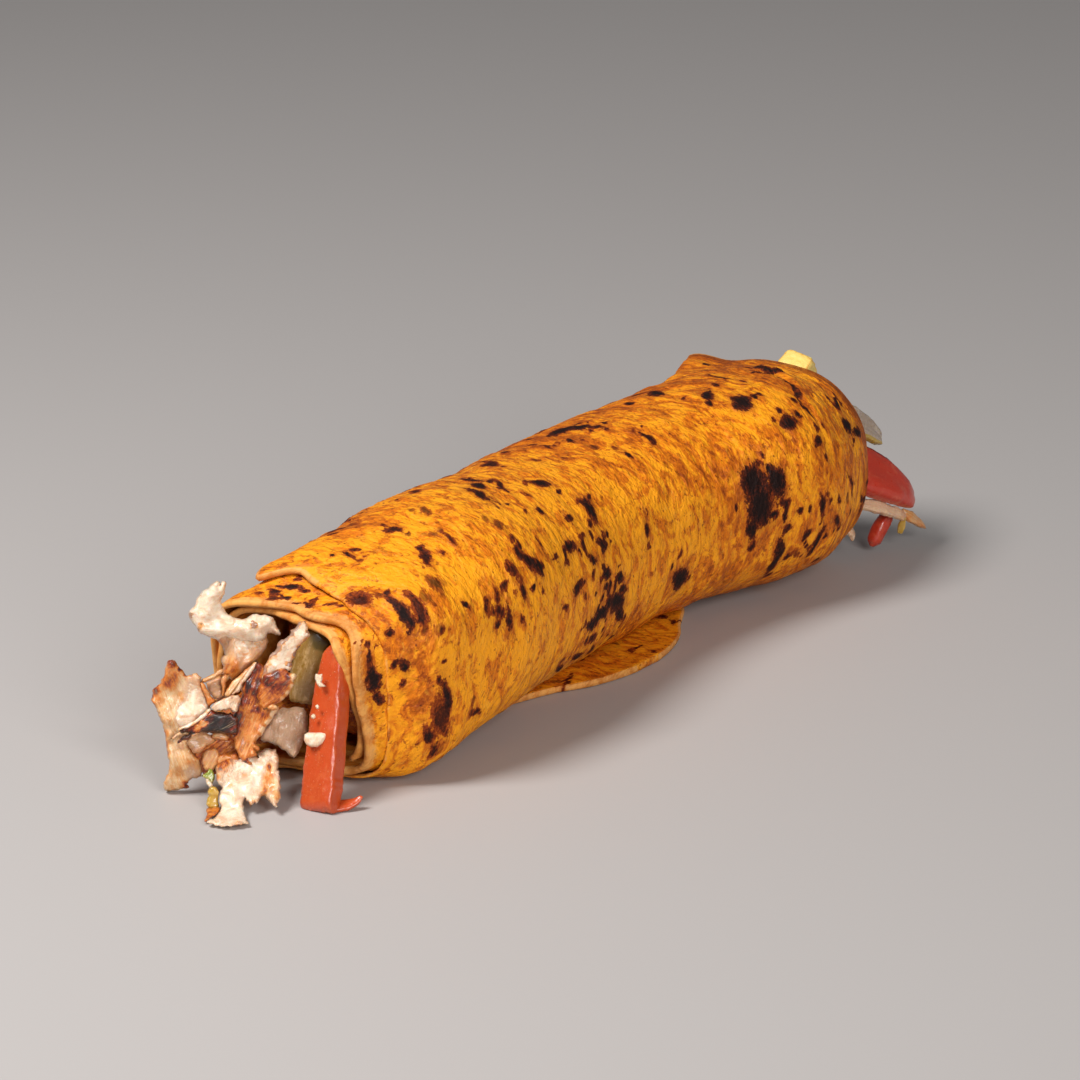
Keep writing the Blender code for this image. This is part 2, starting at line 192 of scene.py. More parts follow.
def lumps(points, size, seed):
    """Smooth random values from -1 to 1, in lumps of the size given, in mm; three sizes stretch."""
    values = np.random.default_rng(seed).uniform(-1, 1, (32, 32, 32))
    spot = np.asarray(points, float) / size
    cell = np.floor(spot).astype(int)
    part = ease(spot - cell)
    total = 0.0
    for corner in range(8):
        step = np.array([corner & 1, corner >> 1 & 1, corner >> 2])
        weight = np.prod(np.where(step, part, 1 - part), axis=-1)
        place = (cell + step) % 32
        total = total + weight * values[place[..., 0], place[..., 1], place[..., 2]]
    return total


def stack(*columns):
    return np.stack(np.broadcast_arrays(*columns), axis=-1)


def section(x):
    """Half width, half height, centre Y, centre Z and squareness of the roll at X."""
    row = read_table(ROLL, x)
    half_width, centre_y = row[..., 0], row[..., 1]
    mouth = 1 - np.clip((x - MOUTH_X) / MOUTH_LENGTH, 0, 1)
    half_height = half_width * (HEIGHT_TO_WIDTH + MOUTH_EXTRA_HEIGHT * mouth)
    away = (abs(x - LIFT_CENTRE_X) - LIFT_FULL_TO) / (LIFT_GONE_AT - LIFT_FULL_TO)
    lift = MIDDLE_LIFT + (END_LIFT - MIDDLE_LIFT) * ease(away)
    squareness = ROUND_SQUARENESS + MOUTH_SQUARENESS * mouth ** 1.5
    return half_width, half_height, centre_y, lift + half_height, squareness


def ring_point(x, turn, inset):
    """Point of the roll's outline at X, a part of a turn on from the bottom, moved inwards."""
    half_width, half_height, centre_y, centre_z, squareness = section(x)
    side, down = np.sin(2 * np.pi * turn), np.cos(2 * np.pi * turn)
    reach = (abs(side) / (half_width - inset)) ** squareness
    reach += (abs(down) / (half_height - inset)) ** squareness
    radius = reach ** (-1 / squareness)
    return stack(x, centre_y + radius * side, centre_z - radius * down)


# The torn corner that stands off the roll at the far end, and how uneven the roll is.
CORNER_TURN = 0.385
CORNER_TORN_WIDTH = 0.012
CORNER_FAIR_WIDTH = 0.035
CORNER_LENGTH = 24.0
CORNER_RISE = 5.8
PUFFS = ((26.0, 0.6), (11.0, 0.5), (5.0, 0.28))
CALM_RIM = 12.0
WAVY_EDGE = ((9.0, 0.42), (3.4, 0.16))
FAR_RAGGED = 1.6


def wrapped_point(turn, across):
    edges = read_table(EDGES, turn)
    wave = [sum(height * lumps(stack(turn * AROUND, 0.0, 0.0), size, seed) for size, height in WAVY_EDGE)
            for seed in (3, 6)]
    near_x, far_x = edges[..., 0] + wave[0], edges[..., 1] + FAR_RAGGED * wave[1]
    x = near_x + (far_x - near_x) * across
    away = (x - SLACK_X) / SLACK_REACH
    pitch = PLY_PITCH * (1 + MOUTH_SLACK * np.exp(-away * away))
    along = np.clip((x - far_x + CORNER_LENGTH) / CORNER_LENGTH, 0, 1)
    width = np.where(turn < CORNER_TURN, CORNER_TORN_WIDTH, CORNER_FAIR_WIDTH)
    rise = CORNER_RISE * along ** 1.1 * np.exp(-((turn - CORNER_TURN) / width) ** 2)
    around = 2 * np.pi * turn
    spot = stack(x, 28 * np.sin(around), 28 * np.cos(around))
    calm = ease(np.minimum(x - near_x, far_x - x) / CALM_RIM)
    puff = sum(height * lumps(spot, size, 5) * (1 if size > CALM_RIM else calm) for size, height in PUFFS)
    puff = puff * ease(abs((turn + 0.5) % 1 - 0.5) * 8)
    return ring_point(x, turn, pitch * (turn - OUTLINE_TURN) - rise - puff)


def flap_point(reach, across):
    """Point of the round end that lies flat in front of the roll; reach is from its tip."""
    wave = 0.5 * lumps(stack(reach, 0.0, 0.0), 6.0, 4)
    half = FLAP_REACH * (1 - np.exp(-reach / FLAP_RISE)) ** 0.62 + wave
    root_near, root_far = EDGES[0][1:]
    blend = ease((reach - 10) / (FLAP_LENGTH - 10))
    near_x = (FLAP_CENTRE_X - half) * (1 - blend) + root_near * blend
    far_x = (FLAP_CENTRE_X + half) * (1 - blend) + root_far * blend
    root = ring_point(near_x + (far_x - near_x) * across, 0.0, -PLY_PITCH * OUTLINE_TURN)
    return root - stack(0.0, FLAP_LENGTH - reach, 0.0)


# Scorch marks: turn, X, half length, half width, slant in degrees, depth of colour from 0 to 1.
SCORCHES = (
    (0.690, 46, 5.0, 4.2, 50, 1.0), (0.702, 53, 4.8, 3.6, 5, 1.0), (0.728, 47, 7.6, 4.6, 4, 1.0),
    (0.765, 44, 3.4, 1.8, 10, 0.95), (0.752, 55.5, 2.6, 1.0, 5, 0.8), (0.573, 60, 4.2, 2.8, -40, 1.0),
    (0.533, 56, 3.8, 1.9, -28, 1.0), (0.460, 51, 4.0, 2.2, -30, 0.9), (0.463, 42, 1.8, 0.9, -40, 0.8),
    (0.629, 66, 3.3, 2.2, -58, 0.95), (0.668, 72, 2.2, 1.4, -54, 0.9), (0.689, 73.5, 1.2, 0.8, 0, 0.8),
    (0.510, 63, 2.4, 1.1, -4, 0.8), (0.486, 70, 5.4, 0.9, 4, 0.7), (0.626, 96.5, 2.8, 1.3, -70, 0.8),
    (0.660, 93, 3.9, 2.1, -88, 1.0), (0.676, 99, 4.0, 1.7, 77, 1.0), (0.586, 12, 2.0, 1.2, -12, 0.85),
    (0.695, 1, 3.2, 1.6, -5, 0.85), (0.798, 16.5, 5.2, 3.4, 50, 1.0), (0.824, 56, 7.6, 1.8, 7, 0.9),
    (0.814, 70, 5.0, 1.6, -15, 0.9), (0.855, 76, 2.2, 1.4, 0, 0.8), (0.797, 64, 1.9, 1.0, 0, 0.7),
    (0.812, 66, 3.0, 1.0, 40, 0.6), (0.758, 64.5, 1.6, 0.9, 30, 0.7), (0.756, 61, 1.5, 0.9, 40, 0.6),
    (0.756, 69.5, 3.5, 1.4, 17, 0.75), (0.782, 77, 2.9, 1.6, 60, 0.8), (0.777, 100, 3.2, 1.2, 60, 0.8),
    (0.740, 86, 4.5, 0.9, 27, 0.6), (0.672, 50, 1.0, 0.8, 0, 0.7), (0.450, -20, 4.4, 1.8, -60, 0.6),
    (0.593, -46, 1.6, 0.9, -60, 0.6), (0.626, -31, 1.7, 1.2, -60, 0.85), (0.612, -20, 2.4, 1.1, -70, 0.5),
    (0.586, 12, 1.9, 1.1, -5, 0.8), (0.568, 25, 3.3, 1.2, 1, 0.8), (0.682, -22, 2.6, 1.9, 88, 1.0),
    (0.671, -18, 1.4, 0.9, 80, 0.7), (0.665, -38, 2.9, 1.9, 80, 0.95), (0.662, -30.5, 2.4, 1.3, 80, 0.5),
    (0.691, -30, 2.8, 1.6, 60, 0.9), (0.667, -49, 2.0, 1.1, 80, 0.85), (0.678, -44, 2.1, 1.2, -50, 0.85),
    (0.640, -64, 3.0, 1.2, -45, 0.85), (0.685, -64, 0.9, 0.7, 0, 0.9), (0.723, -23, 3.0, 1.9, 74, 1.0),
    (0.743, -16, 2.6, 1.6, 80, 0.9), (0.742, -24, 2.6, 1.5, 60, 0.9), (0.761, -13, 2.3, 1.5, 64, 0.9),
    (0.773, -18, 5.2, 2.8, 75, 1.0), (0.777, -28, 6.0, 2.2, 84, 1.0), (0.784, -33, 3.4, 2.1, 69, 0.95),
    (0.800, -14, 4.0, 1.9, 42, 0.9), (0.812, -29, 2.5, 1.1, 62, 0.7), (0.845, -24, 5.0, 1.6, 50, 0.7),
    (0.846, -11, 4.0, 1.2, 59, 0.8), (0.720, -41, 4.0, 1.8, -75, 0.8), (0.573, -89, 4.6, 1.4, -38, 0.65),
    (0.571, -78, 3.0, 1.1, -17, 0.5), (0.494, -83, 3.0, 1.3, 28, 0.65), (0.629, -108, 6.2, 1.1, -5, 1.0),
    (0.640, -105, 5.0, 1.8, -5, 0.55), (0.701, -110, 3.2, 1.0, 8, 0.95), (0.754, -90, 1.0, 0.7, 60, 1.0),
    (0.737, -49, 2.2, 1.2, 70, 0.45), (0.764, -101, 6.0, 1.9, 5, 0.75), (0.812, -105, 4.0, 1.7, 10, 0.75),
    (0.792, -102, 7.0, 2.6, 12, 0.4), (0.814, -88.5, 2.6, 1.0, 50, 0.6), (0.843, -42, 5.0, 1.6, 55, 0.7),
    (0.833, -34, 4.0, 1.3, 80, 0.7), (0.626, -118, 1.9, 1.2, -39, 0.8), (1.668, -115, 3.0, 0.9, 4, 0.75),
    (1.705, -115, 6.0, 1.9, 8, 0.85), (1.743, -113.6, 2.4, 0.9, 8, 0.7),
    (0.480, -98.5, 3.4, 0.9, -17, 0.65), (0.480, -95, 1.4, 0.8, -10, 0.6), (0.458, -100, 0.8, 0.7, 0, 0.95),
    (1.451, -111, 3.0, 1.4, 13, 0.85), (1.442, -114, 2.6, 0.8, -12, 0.7),
    (1.470, -114.5, 3.0, 0.9, -14, 0.75), (1.522, -115, 3.8, 1.0, -13, 0.75),
    (1.564, -112.5, 1.6, 0.9, -19, 0.6), (0.515, 84, 5.6, 0.9, 62, 0.85), (0.570, 82, 6.4, 0.8, -38, 0.9),
    (0.612, 76.8, 4.6, 0.9, -2, 0.85), (0.451, 15, 6.4, 2.1, 84, 0.95), (0.472, 18.6, 3.6, 1.9, 10, 0.95),
    (0.492, 20.2, 3.0, 1.1, 12, 0.85), (0.494, 8, 2.8, 1.1, -20, 0.8), (0.476, 3, 3.6, 0.8, 34, 0.65),
    (0.474, -38.6, 4.2, 1.7, 5, 0.85), (0.503, -43.6, 3.4, 2.0, -40, 0.9),
    (0.527, -50.2, 5.6, 2.0, -18, 0.9), (0.525, -37.5, 6.0, 1.1, -36, 0.7),
    (0.553, -26.2, 4.4, 1.6, 38, 0.9), (0.601, -40, 2.4, 1.4, -15, 0.85),
    (0.632, -19.2, 4.6, 2.6, -20, 0.95), (0.658, -61.6, 5.4, 2.4, 34, 0.75),
    (0.673, -59, 2.2, 1.6, 0, 0.95), (0.654, -70.5, 3.4, 2.0, 0, 0.5), (0.685, -69.2, 2.4, 1.4, 10, 0.65),
    (0.669, -78.2, 2.6, 1.5, 0, 0.45), (0.704, -76.4, 4.2, 1.8, 0, 0.8), (0.687, -79, 2.0, 1.3, 0, 0.5),
    (0.675, -83.2, 2.4, 1.2, -10, 0.5), (0.657, -91.2, 2.2, 1.2, 30, 0.85),
    (0.499, -9.8, 2.4, 1.3, -30, 0.35), (0.536, 8.5, 2.2, 1.4, 0, 0.35),
    (0.593, -61.6, 2.8, 1.6, -60, 0.35), (0.524, -3.2, 2.0, 1.2, 10, 0.35),
    (0.559, 12.5, 1.8, 1.2, 0, 0.35), (0.506, -71, 3.0, 1.2, -20, 0.35), (0.612, -96, 2.8, 2.0, -30, 0.35),
    (0.637, -52.5, 1.7, 1.0, 30, 0.4), (0.440, -57, 1.8, 3.2, 0, 0.4), (0.444, -21, 1.6, 2.6, 0, 0.5),
    (0.434, -7, 1.4, 2.4, 0, 0.4), (0.625, -104.5, 5.0, 1.6, -6, 0.45),
)
# Toasted places, in the same terms with soft edges.
TOASTED = (
    (0.685, 31, 11.0, 7.0, 36, 0.5), (0.523, 31, 14.0, 6.0, -24, 0.5), (0.552, 46, 8.0, 5.0, -50, 0.5),
    (0.721, 82, 14.0, 6.0, 80, 0.45), (0.780, -102, 16.0, 6.0, 8, 0.5), (0.640, -20, 9.0, 6.0, 0, 0.3),
    (0.770, -22, 18.0, 10.0, 60, 0.3), (0.660, -66, 12.0, 8.0, 30, 0.3), (0.470, 5, 20.0, 16.0, 0, 0.35),
    (0.860, -70, 20.0, 30.0, 0, 0.2), (0.700, -109, 22.0, 6.0, 0, 0.55),
    (0.560, 105, 34.0, 2.6, 0, 0.75), (0.700, 104, 26.0, 3.0, 0, 0.5),
    (0.400, 93, 9.0, 3.0, 0, 1.1), (0.640, -113, 14.0, 1.6, 0, 0.5), (0.430, -84, 10.0, 8.0, 0, 0.3), (0.880, 20, 14.0, 60.0, 0, 0.35), (0.50, 80, 14.0, 14.0, 0, 0.35),
)
# Marks on the flap and on the sides that face away: how many, and where they may lie.
LOOSE_MARKS = 150
BACK_TURNS = (0.02, 0.44)
SPLASHES = 3
FLAP_MARKS = ((12, -22, 5.0, 1.0, 80, 0.6), (16, -6, 4.0, 0.9, 75, 0.55), (8, 8, 4.5, 0.9, 85, 0.5),
              (20, 22, 5.0, 1.1, 70, 0.7), (24, 8, 3.5, 1.0, 80, 0.6), (14, 32, 3.0, 0.9, 60, 0.6))
TORN_BLISTER = {"turn": 0.580, "x": -111.0, "length": 3.8, "width": 2.1}
RING_BLISTER = {"turn": 0.515, "x": 91.0, "radius": 3.4, "ring": 5.2}


def every_mark():
    """All scorch marks as distance along the sheet, X, half length, half width, slant, depth."""
    marks = [(FLAP_LENGTH + turn * AROUND, *rest) for turn, *rest in SCORCHES]
    marks += list(FLAP_MARKS)
    dice = np.random.default_rng(17)
    for _ in range(LOOSE_MARKS):
        turn = dice.uniform(*BACK_TURNS)
        near_x, far_x = read_table(EDGES, turn)
        size = 0.8 + 3.2 * dice.random() ** 2.5
        marks.append((FLAP_LENGTH + turn * AROUND, dice.uniform(near_x, far_x), size * dice.uniform(1.1, 1.9),
                      size * dice.uniform(0.5, 0.9), dice.uniform(-50, 50), dice.uniform(0.5, 1.0)))
    for along, x, length, width, slant, depth in list(marks):
        for _ in range(SPLASHES if length > 2.5 else 0):
            way = dice.uniform(0, 2 * math.pi)
            reach = dice.uniform(1.1, 1.9)
            size = dice.uniform(0.6, 1.3)
            marks.append((along + reach * length * math.cos(way), x + reach * (width + 1) * math.sin(way),
                          size * 1.4, size, dice.uniform(-40, 40), depth * dice.uniform(0.45, 0.9)))
    return marks


def mark_distance(along, x, mark):
    """How far a point is from a mark's middle: 1 on the mark's outline."""
    middle, middle_x, length, width, slant = mark[:5]
    turn = math.radians(slant)
    lead, side = along - middle, x - middle_x
    across = side * math.cos(turn) - lead * math.sin(turn)
    return np.hypot((lead * math.cos(turn) + side * math.sin(turn)) / length, across / width)


def ring_distance(along, x, spot):
    return np.hypot(along - FLAP_LENGTH - spot["turn"] * AROUND, x - spot["x"])


def blister_distance(along, x):
    """Distance from the torn blister's middle: 1 on its rim."""
    return mark_distance(along, x, (FLAP_LENGTH + TORN_BLISTER["turn"] * AROUND, TORN_BLISTER["x"],
                                    TORN_BLISTER["length"], TORN_BLISTER["width"], -8))


def scorch_fields(along, x):
    """Two values for each point: 1 at a mark's middle and 0 on its outline, and its depth."""
    spot = stack(along, x, 0.0)
    bent_along = along + 0.9 * lumps(spot, 3.4, 8) + 0.5 * lumps(spot, 1.7, 9)
    bent_x = x + 0.8 * lumps(spot, 3.0, 10) + 0.4 * lumps(spot, 1.5, 11)
    field = np.full(along.shape, -1.5)
    depth = np.zeros(along.shape)
    for mark in every_mark():
        inside = 1 - mark_distance(bent_along, bent_x, mark)
        nearer = inside > field
        field = np.where(nearer, inside, field)
        depth = np.where(nearer, mark[5], depth)
    shapes = ((0.75 - abs(ring_distance(along, x, RING_BLISTER) - 4.1) / 1.7, 0.85),
              (1.1 - blister_distance(along, x), 0.42))
    for inside, dark in shapes:
        field, depth = np.maximum(field, inside), np.where(inside > field, dark, depth)
    return field, depth


# Toast at each point of the sheet: darker towards the far end, partly real toasting and partly painted shade where the
# light falls off; darker on the flap and the bottom turn, on the lower front and past the top; and the toasted places
# listed above.
def toast_field(along, x):
    toast = 0.42 * ease((x + 40) / 110) + 0.2 * ease((FLAP_LENGTH + 22 - along) / 20)
    toast = toast + 0.3 * ease((along - FLAP_LENGTH - 0.86 * AROUND) / 20)
    toast = toast + 0.45 * ease((FLAP_LENGTH + 0.525 * AROUND - along) / 16)
    for turn, *rest in TOASTED:
        distance = mark_distance(along, x, (FLAP_LENGTH + turn * AROUND, *rest))
        toast = toast + rest[-1] * np.exp(-distance ** 2)
    return toast


def hand_relief(along, x, field, depth):
    """Rise of the outer face in mm: puffed scorch marks, the far fold and the two blisters."""
    rise = 0.22 * depth * ease(field * 1.6 + 0.5)
    ring = ring_distance(along, x, RING_BLISTER)
    rise += 0.9 * np.exp(-(ring / RING_BLISTER["radius"]) ** 4)
    rise -= 0.35 * np.exp(-((ring - RING_BLISTER["ring"]) / 0.9) ** 2)
    turn = (along - FLAP_LENGTH) / AROUND
    fold_x = read_table(((0.48, 81.5), (0.53, 86.5), (0.56, 84.5), (0.60, 77.4), (0.65, 78.5)), turn)[..., 0]
    shown = ease((turn - 0.49) / 0.02) * ease((0.645 - turn) / 0.03)
    rise += shown * (0.8 * np.exp(-((x - fold_x - 2.6) / 2.2) ** 2) - 0.5 * np.exp(-((x - fold_x) / 0.9) ** 2))
    torn = blister_distance(along, x)
    rise += 1.0 * np.exp(-((torn - 0.95) / 0.3) ** 2) - 0.5 * np.exp(-(torn / 0.6) ** 4)
    return rise


def make_mesh(name, points, faces, marks=None):
    """A mesh object in metres from points in mm, its faces turned outwards, with its marks."""
    points = (np.reshape(points, (-1, 3)) + ORIGIN_SHIFT) * MM
    corners = points[np.array([face[:3] for face in faces])]
    middle = points.mean(axis=0)
    fans = np.cross(corners[:, 1] - corners[:, 0], corners[:, 2] - corners[:, 0])
    if ((corners[:, 0] - middle) * fans).sum() < 0:
        faces = [face[::-1] for face in faces]
    mesh = bpy.data.meshes.new(name)
    mesh.from_pydata(points.tolist(), [], faces)
    for mark, values in (marks or {}).items():
        values = np.asarray(values, np.float32)
        is_vector = values.size == 3 * len(points)
        layer = mesh.attributes.new(mark, "FLOAT_VECTOR" if is_vector else "FLOAT", "POINT")
        layer.data.foreach_set("vector" if is_vector else "value", values.ravel())
    mesh.shade_smooth()
    thing = bpy.data.objects.new(name, mesh)
    bpy.context.scene.collection.objects.link(thing)
    return thing


def loop_faces(rings, sides):
    """Quads between closed rings of points that follow one another."""
    ring, side = np.meshgrid(np.arange(rings - 1), np.arange(sides), indexing="ij")
    after = (side + 1) % sides
    first, second = ring * sides, (ring + 1) * sides
    return np.stack([first + side, first + after, second + after, second + side], -1).reshape(-1, 4)


RIM_STEPS = (-0.75, 0.0, 0.75)
# The outer ply's near rim is pressed down on the ply under it: how far in, how deep, how thin.
PRESSED_REACH = 6.0
PRESSED_DEPTH = 1.5
PRESSED_THINNER = 0.5


def end_faces(half, start):
    """Close one end of the slab, whose ring is outer face, far rim, inner face and near rim."""
    rim, count = len(RIM_STEPS), 2 * (half + len(RIM_STEPS))
    facing = [count - rim - 1 - seat for seat in range(half)]
    faces = [[seat, seat + 1, facing[seat + 1], facing[seat]] for seat in range(half - 1)]
    faces.append([half - 1, *range(half, half + rim), half + rim])
    faces.append([facing[0], *range(count - rim, count), 0])
    return [[start + seat for seat in face] for face in faces]


def make_sheet(name, rows_along, across_places):
    """A slab along the sheet: outer face, far rim, inner face and near rim make one closed ring."""
    flat = rows_along < FLAP_LENGTH
    along, across = rows_along[:, None], across_places[None, :]
    outer = np.concatenate([
        flap_point(along[flat], across), wrapped_point((along[~flat] - FLAP_LENGTH) / AROUND, across)])
    along = np.broadcast_to(along, outer.shape[:2])
    x = outer[..., 0]
    inward = unit(np.cross(np.gradient(outer, axis=0), np.gradient(outer, axis=1)))
    centre = stack(x, 0.0, 30.0)
    if (inward[-1] * (centre - outer)[-1]).sum() < 0:
        inward = -inward
    field, depth = scorch_fields(along, x)
    turn = (along - FLAP_LENGTH) / AROUND
    pressed = ease((turn - 0.5) / 0.06) * ease((1.06 - turn) / 0.05)
    pressed = pressed * np.exp(-((x - x[:, :1]) / PRESSED_REACH) ** 2)
    thick = PLY * (1 + 0.12 * lumps(stack(along, x, 3.0), 9.0, 21)) * (1 - PRESSED_THINNER * pressed)
    outer = outer + inward * (PRESSED_DEPTH * pressed)[..., None]
    inner = outer + inward * thick[..., None]
    outer = outer - inward * hand_relief(along, x, field, depth)[..., None]
    rims = []
    for edge, way in ((-1, 1), (0, -1)):
        middle = (outer[:, edge] + inner[:, edge]) / 2
        lead = unit(outer[:, edge] - outer[:, edge - way * 2])
        half = np.linalg.norm(inner[:, edge] - outer[:, edge], axis=-1, keepdims=True) / 2
        caps = [middle + half * (lead * math.cos(step * math.pi / 2) * 0.9
                                 + way * inward[:, edge] * math.sin(step * math.pi / 2)) for step in RIM_STEPS]
        rims.append(np.stack(caps, 1))
    points = np.concatenate([outer, rims[0], inner[:, ::-1], rims[1]], axis=1)

    def ring_of(face, back):
        shares = 0.5 + 0.5 * np.sin(np.array(RIM_STEPS) * math.pi / 2)
        far_rim = face[:, -1:] + (back - face)[:, -1:] * shares
        near_rim = back[:, :1] + (face - back)[:, :1] * shares
        return np.concatenate([face, far_rim, back[:, ::-1], near_rim], axis=1)

    edge = np.minimum(np.minimum(x - x[:, :1], x[:, -1:] - x), np.where(along < FLAP_LENGTH, along, 50.0))
    firm = 1 - ease(edge / 3.0)
    on_outer = along < FLAP_LENGTH + AROUND
    edge = np.where(on_outer, np.where(turn > 0.5, 1.5 + 2.4 * edge, 0.3 + 2.4 * edge), 0.75 * edge)
    edge = edge * ease(blister_distance(along, x) * 1.6 - 0.3)
    on_flap = ease((FLAP_LENGTH + 4 - along) / 8) + 0 * x
    marks = {
        "sheet": stack(ring_of(along, along), ring_of(x, x), ring_of(0 * x, PLY + 0 * x)),
        "scorch": ring_of(field, (field + 1.5) * on_flap - 1.5),
        "scorch_depth": ring_of(depth, depth),
        "toast": ring_of(toast_field(along, x), along * 0 + 0.3),
        "rim": ring_of(edge, edge),
        "firm": ring_of(firm, np.maximum(firm, 0.7)),
        "inside": ring_of(along * 0, 1 - on_flap),
    }
    rows, count = points.shape[:2]
    faces = loop_faces(rows, count).tolist()
    faces += [face[::-1] for face in end_faces(len(across_places), 0)]
    faces += end_faces(len(across_places), (rows - 1) * count)
    return make_mesh(name, points, faces, marks)


class Value:
    """A socket of a material or a node group. Arithmetic on it adds Math nodes."""

    def __init__(self, nodes, socket):
        self.nodes = nodes
        self.socket = socket

    def maths(self, operation, *values):
        inputs = dict(enumerate(values))
        return self.nodes.node("ShaderNodeMath", {"operation": operation}, inputs)

    def __add__(self, other):
        return self.maths("ADD", self, other)

    __radd__ = __add__

    def __sub__(self, other):
        return self.maths("SUBTRACT", self, other)

    def __rsub__(self, other):
        return self.maths("SUBTRACT", other, self)

    def __mul__(self, other):
        return self.maths("MULTIPLY", self, other)

    __rmul__ = __mul__

    def __pow__(self, other):
        return self.maths("POWER", self, other)

    def over(self, low, high):
        """0 below low, 1 above high, and a smooth step between them."""
        return self.nodes.node("ShaderNodeMapRange", {"interpolation_type": "SMOOTHSTEP"},
                               {"Value": self, "From Min": low, "From Max": high})

    def near(self, level, width):
        """1 at the level, falling to 0 at the width on both sides of it."""
        return 1 - self.maths("ABSOLUTE", self - level).over(0.0, width)


class Nodes:
    """Adds nodes to a tree, each with its settings first and then its inputs."""

    def __init__(self, tree):
        self.tree = tree

    def node(self, kind, settings=None, inputs=None, output=0):
        made = self.tree.nodes.new(kind)
        for name, setting in (settings or {}).items():
            if name == "stops":
                self.set_stops(made.color_ramp, setting)
            else:
                setattr(made, name, setting)
        for name, value in (inputs or {}).items():
            if isinstance(value, Value):
                self.tree.links.new(value.socket, made.inputs[name])
            else:
                made.inputs[name].default_value = value
        return Value(self, made.outputs[output])

    def set_stops(self, ramp, stops):
        while len(ramp.elements) < len(stops):
            ramp.elements.new(1.0)
        for element, (place, colour) in zip(ramp.elements, stops):
            element.position = place
            element.color = (*colour, 1)

    def vector(self, operation, first, second):
        return self.node("ShaderNodeVectorMath", {"operation": operation}, {0: first, 1: second})


class Paint(Nodes):
    """One material, whose nodes feed its Principled shader."""

    def __init__(self, name, **fixed):
        self.material = bpy.data.materials.new(name)
        self.material.use_nodes = True
        super().__init__(self.material.node_tree)
        self.shader = self.tree.nodes["Principled BSDF"]
        for socket, value in fixed.items():
            self.shader.inputs[socket.replace("_", " ")].default_value = value

    def feed(self, socket, value):
        self.tree.links.new(value.socket, self.shader.inputs[socket])

    def mark(self, name):
        return self.node("ShaderNodeAttribute", {"attribute_name": name}, output="Fac")

    def mark_vector(self, name):
        return self.node("ShaderNodeAttribute", {"attribute_name": name}, output="Vector")

    def place(self):
        """The piece's own coordinates, in millimetres."""
        spot = self.node("ShaderNodeTexCoord", output="Object")
        return self.vector("MULTIPLY", spot, (1000, 1000, 1000))

    def noise(self, spot, size, detail=3.0, rough=0.55, bend=0.0):
        """Noise with lumps of the size given in mm, or of three sizes along three ways."""
        sizes = size if isinstance(size, tuple) else (size,) * 3
        spot = self.vector("MULTIPLY", spot, tuple(1 / length for length in sizes))
        return self.node("ShaderNodeTexNoise", inputs={
            "Vector": spot, "Scale": 1.0, "Detail": detail, "Roughness": rough, "Distortion": bend})

    def mix(self, first, second, share):
        """From the first colour to the second."""
        ends = {6: first, 7: second}
        ends = {key: end if isinstance(end, Value) else (*end, 1) for key, end in ends.items()}
        return self.node("ShaderNodeMix", {"data_type": "RGBA"}, {0: share, **ends}, output=2)

    def ramp(self, value, stops):
        return self.node("ShaderNodeValToRGB", {"stops": stops}, {0: value}, output="Color")

    def bump(self, height, strength, depth_mm, below=None):
        inputs = {"Height": height, "Strength": strength, "Distance": depth_mm * MM}
        if below is not None:
            inputs["Normal"] = below
        return self.node("ShaderNodeBump", inputs=inputs)


def relief_tree():
    """Node group that raises a piece's surface with long and fine noise on its own marks."""
    tree = bpy.data.node_groups.new("surface_relief", "GeometryNodeTree")
    face = tree.interface
    face.new_socket("Geometry", in_out="INPUT", socket_type="NodeSocketGeometry")
    for name, default in (("Long size", 6.0), ("Side size", 1.5), ("Coarse height", 0.2),
                          ("Fine size", 1.2), ("Fine height", 0.06), ("Seed", 0.0)):
        face.new_socket(name, in_out="INPUT", socket_type="NodeSocketFloat").default_value = default
    face.new_socket("Marks", in_out="INPUT", socket_type="NodeSocketString").default_value = "sheet"
    face.new_socket("Material", in_out="INPUT", socket_type="NodeSocketMaterial")
    face.new_socket("Geometry", in_out="OUTPUT", socket_type="NodeSocketGeometry")
    nodes = Nodes(tree)
    start = tree.nodes.new("NodeGroupInput")
    given = {socket.name: Value(nodes, socket) for socket in start.outputs if socket.name}
    marks = nodes.node("GeometryNodeInputNamedAttribute", {"data_type": "FLOAT_VECTOR"},
                       {"Name": given["Marks"]})
    one = Value(nodes, nodes.node("ShaderNodeValue").socket)
    one.socket.default_value = 1.0
    sizes = nodes.node("ShaderNodeCombineXYZ", inputs={
        "X": given["Long size"], "Y": given["Side size"], "Z": given["Side size"]})
    heights = []
    for size, height, detail in ((sizes, "Coarse height", 2.0), (given["Fine size"], "Fine height", 2.0)):
        spot = nodes.vector("DIVIDE", marks, size)
        noise = nodes.node("ShaderNodeTexNoise", {"noise_dimensions": "4D"}, {
            "Vector": spot, "W": given["Seed"], "Scale": one, "Detail": detail})
        heights.append((noise - 0.5) * 2.0 * given[height])
    firm = nodes.node("GeometryNodeInputNamedAttribute", {"data_type": "FLOAT"}, {"Name": "firm"})
    rise = (heights[0] + heights[1]) * MM * (1.0 - firm)
    normal = nodes.node("GeometryNodeInputNormal")
    push = nodes.node("ShaderNodeVectorMath", {"operation": "SCALE"}, {0: normal, "Scale": rise})
    moved = nodes.node("GeometryNodeSetPosition", inputs={"Geometry": given["Geometry"], "Offset": push})
    real = nodes.node("GeometryNodeRealizeInstances", inputs={"Geometry": moved})
    done = nodes.node("GeometryNodeSetMaterial", inputs={"Geometry": real, "Material": given["Material"]})
    finish = tree.nodes.new("NodeGroupOutput")
    tree.links.new(done.socket, finish.inputs["Geometry"])
    return tree


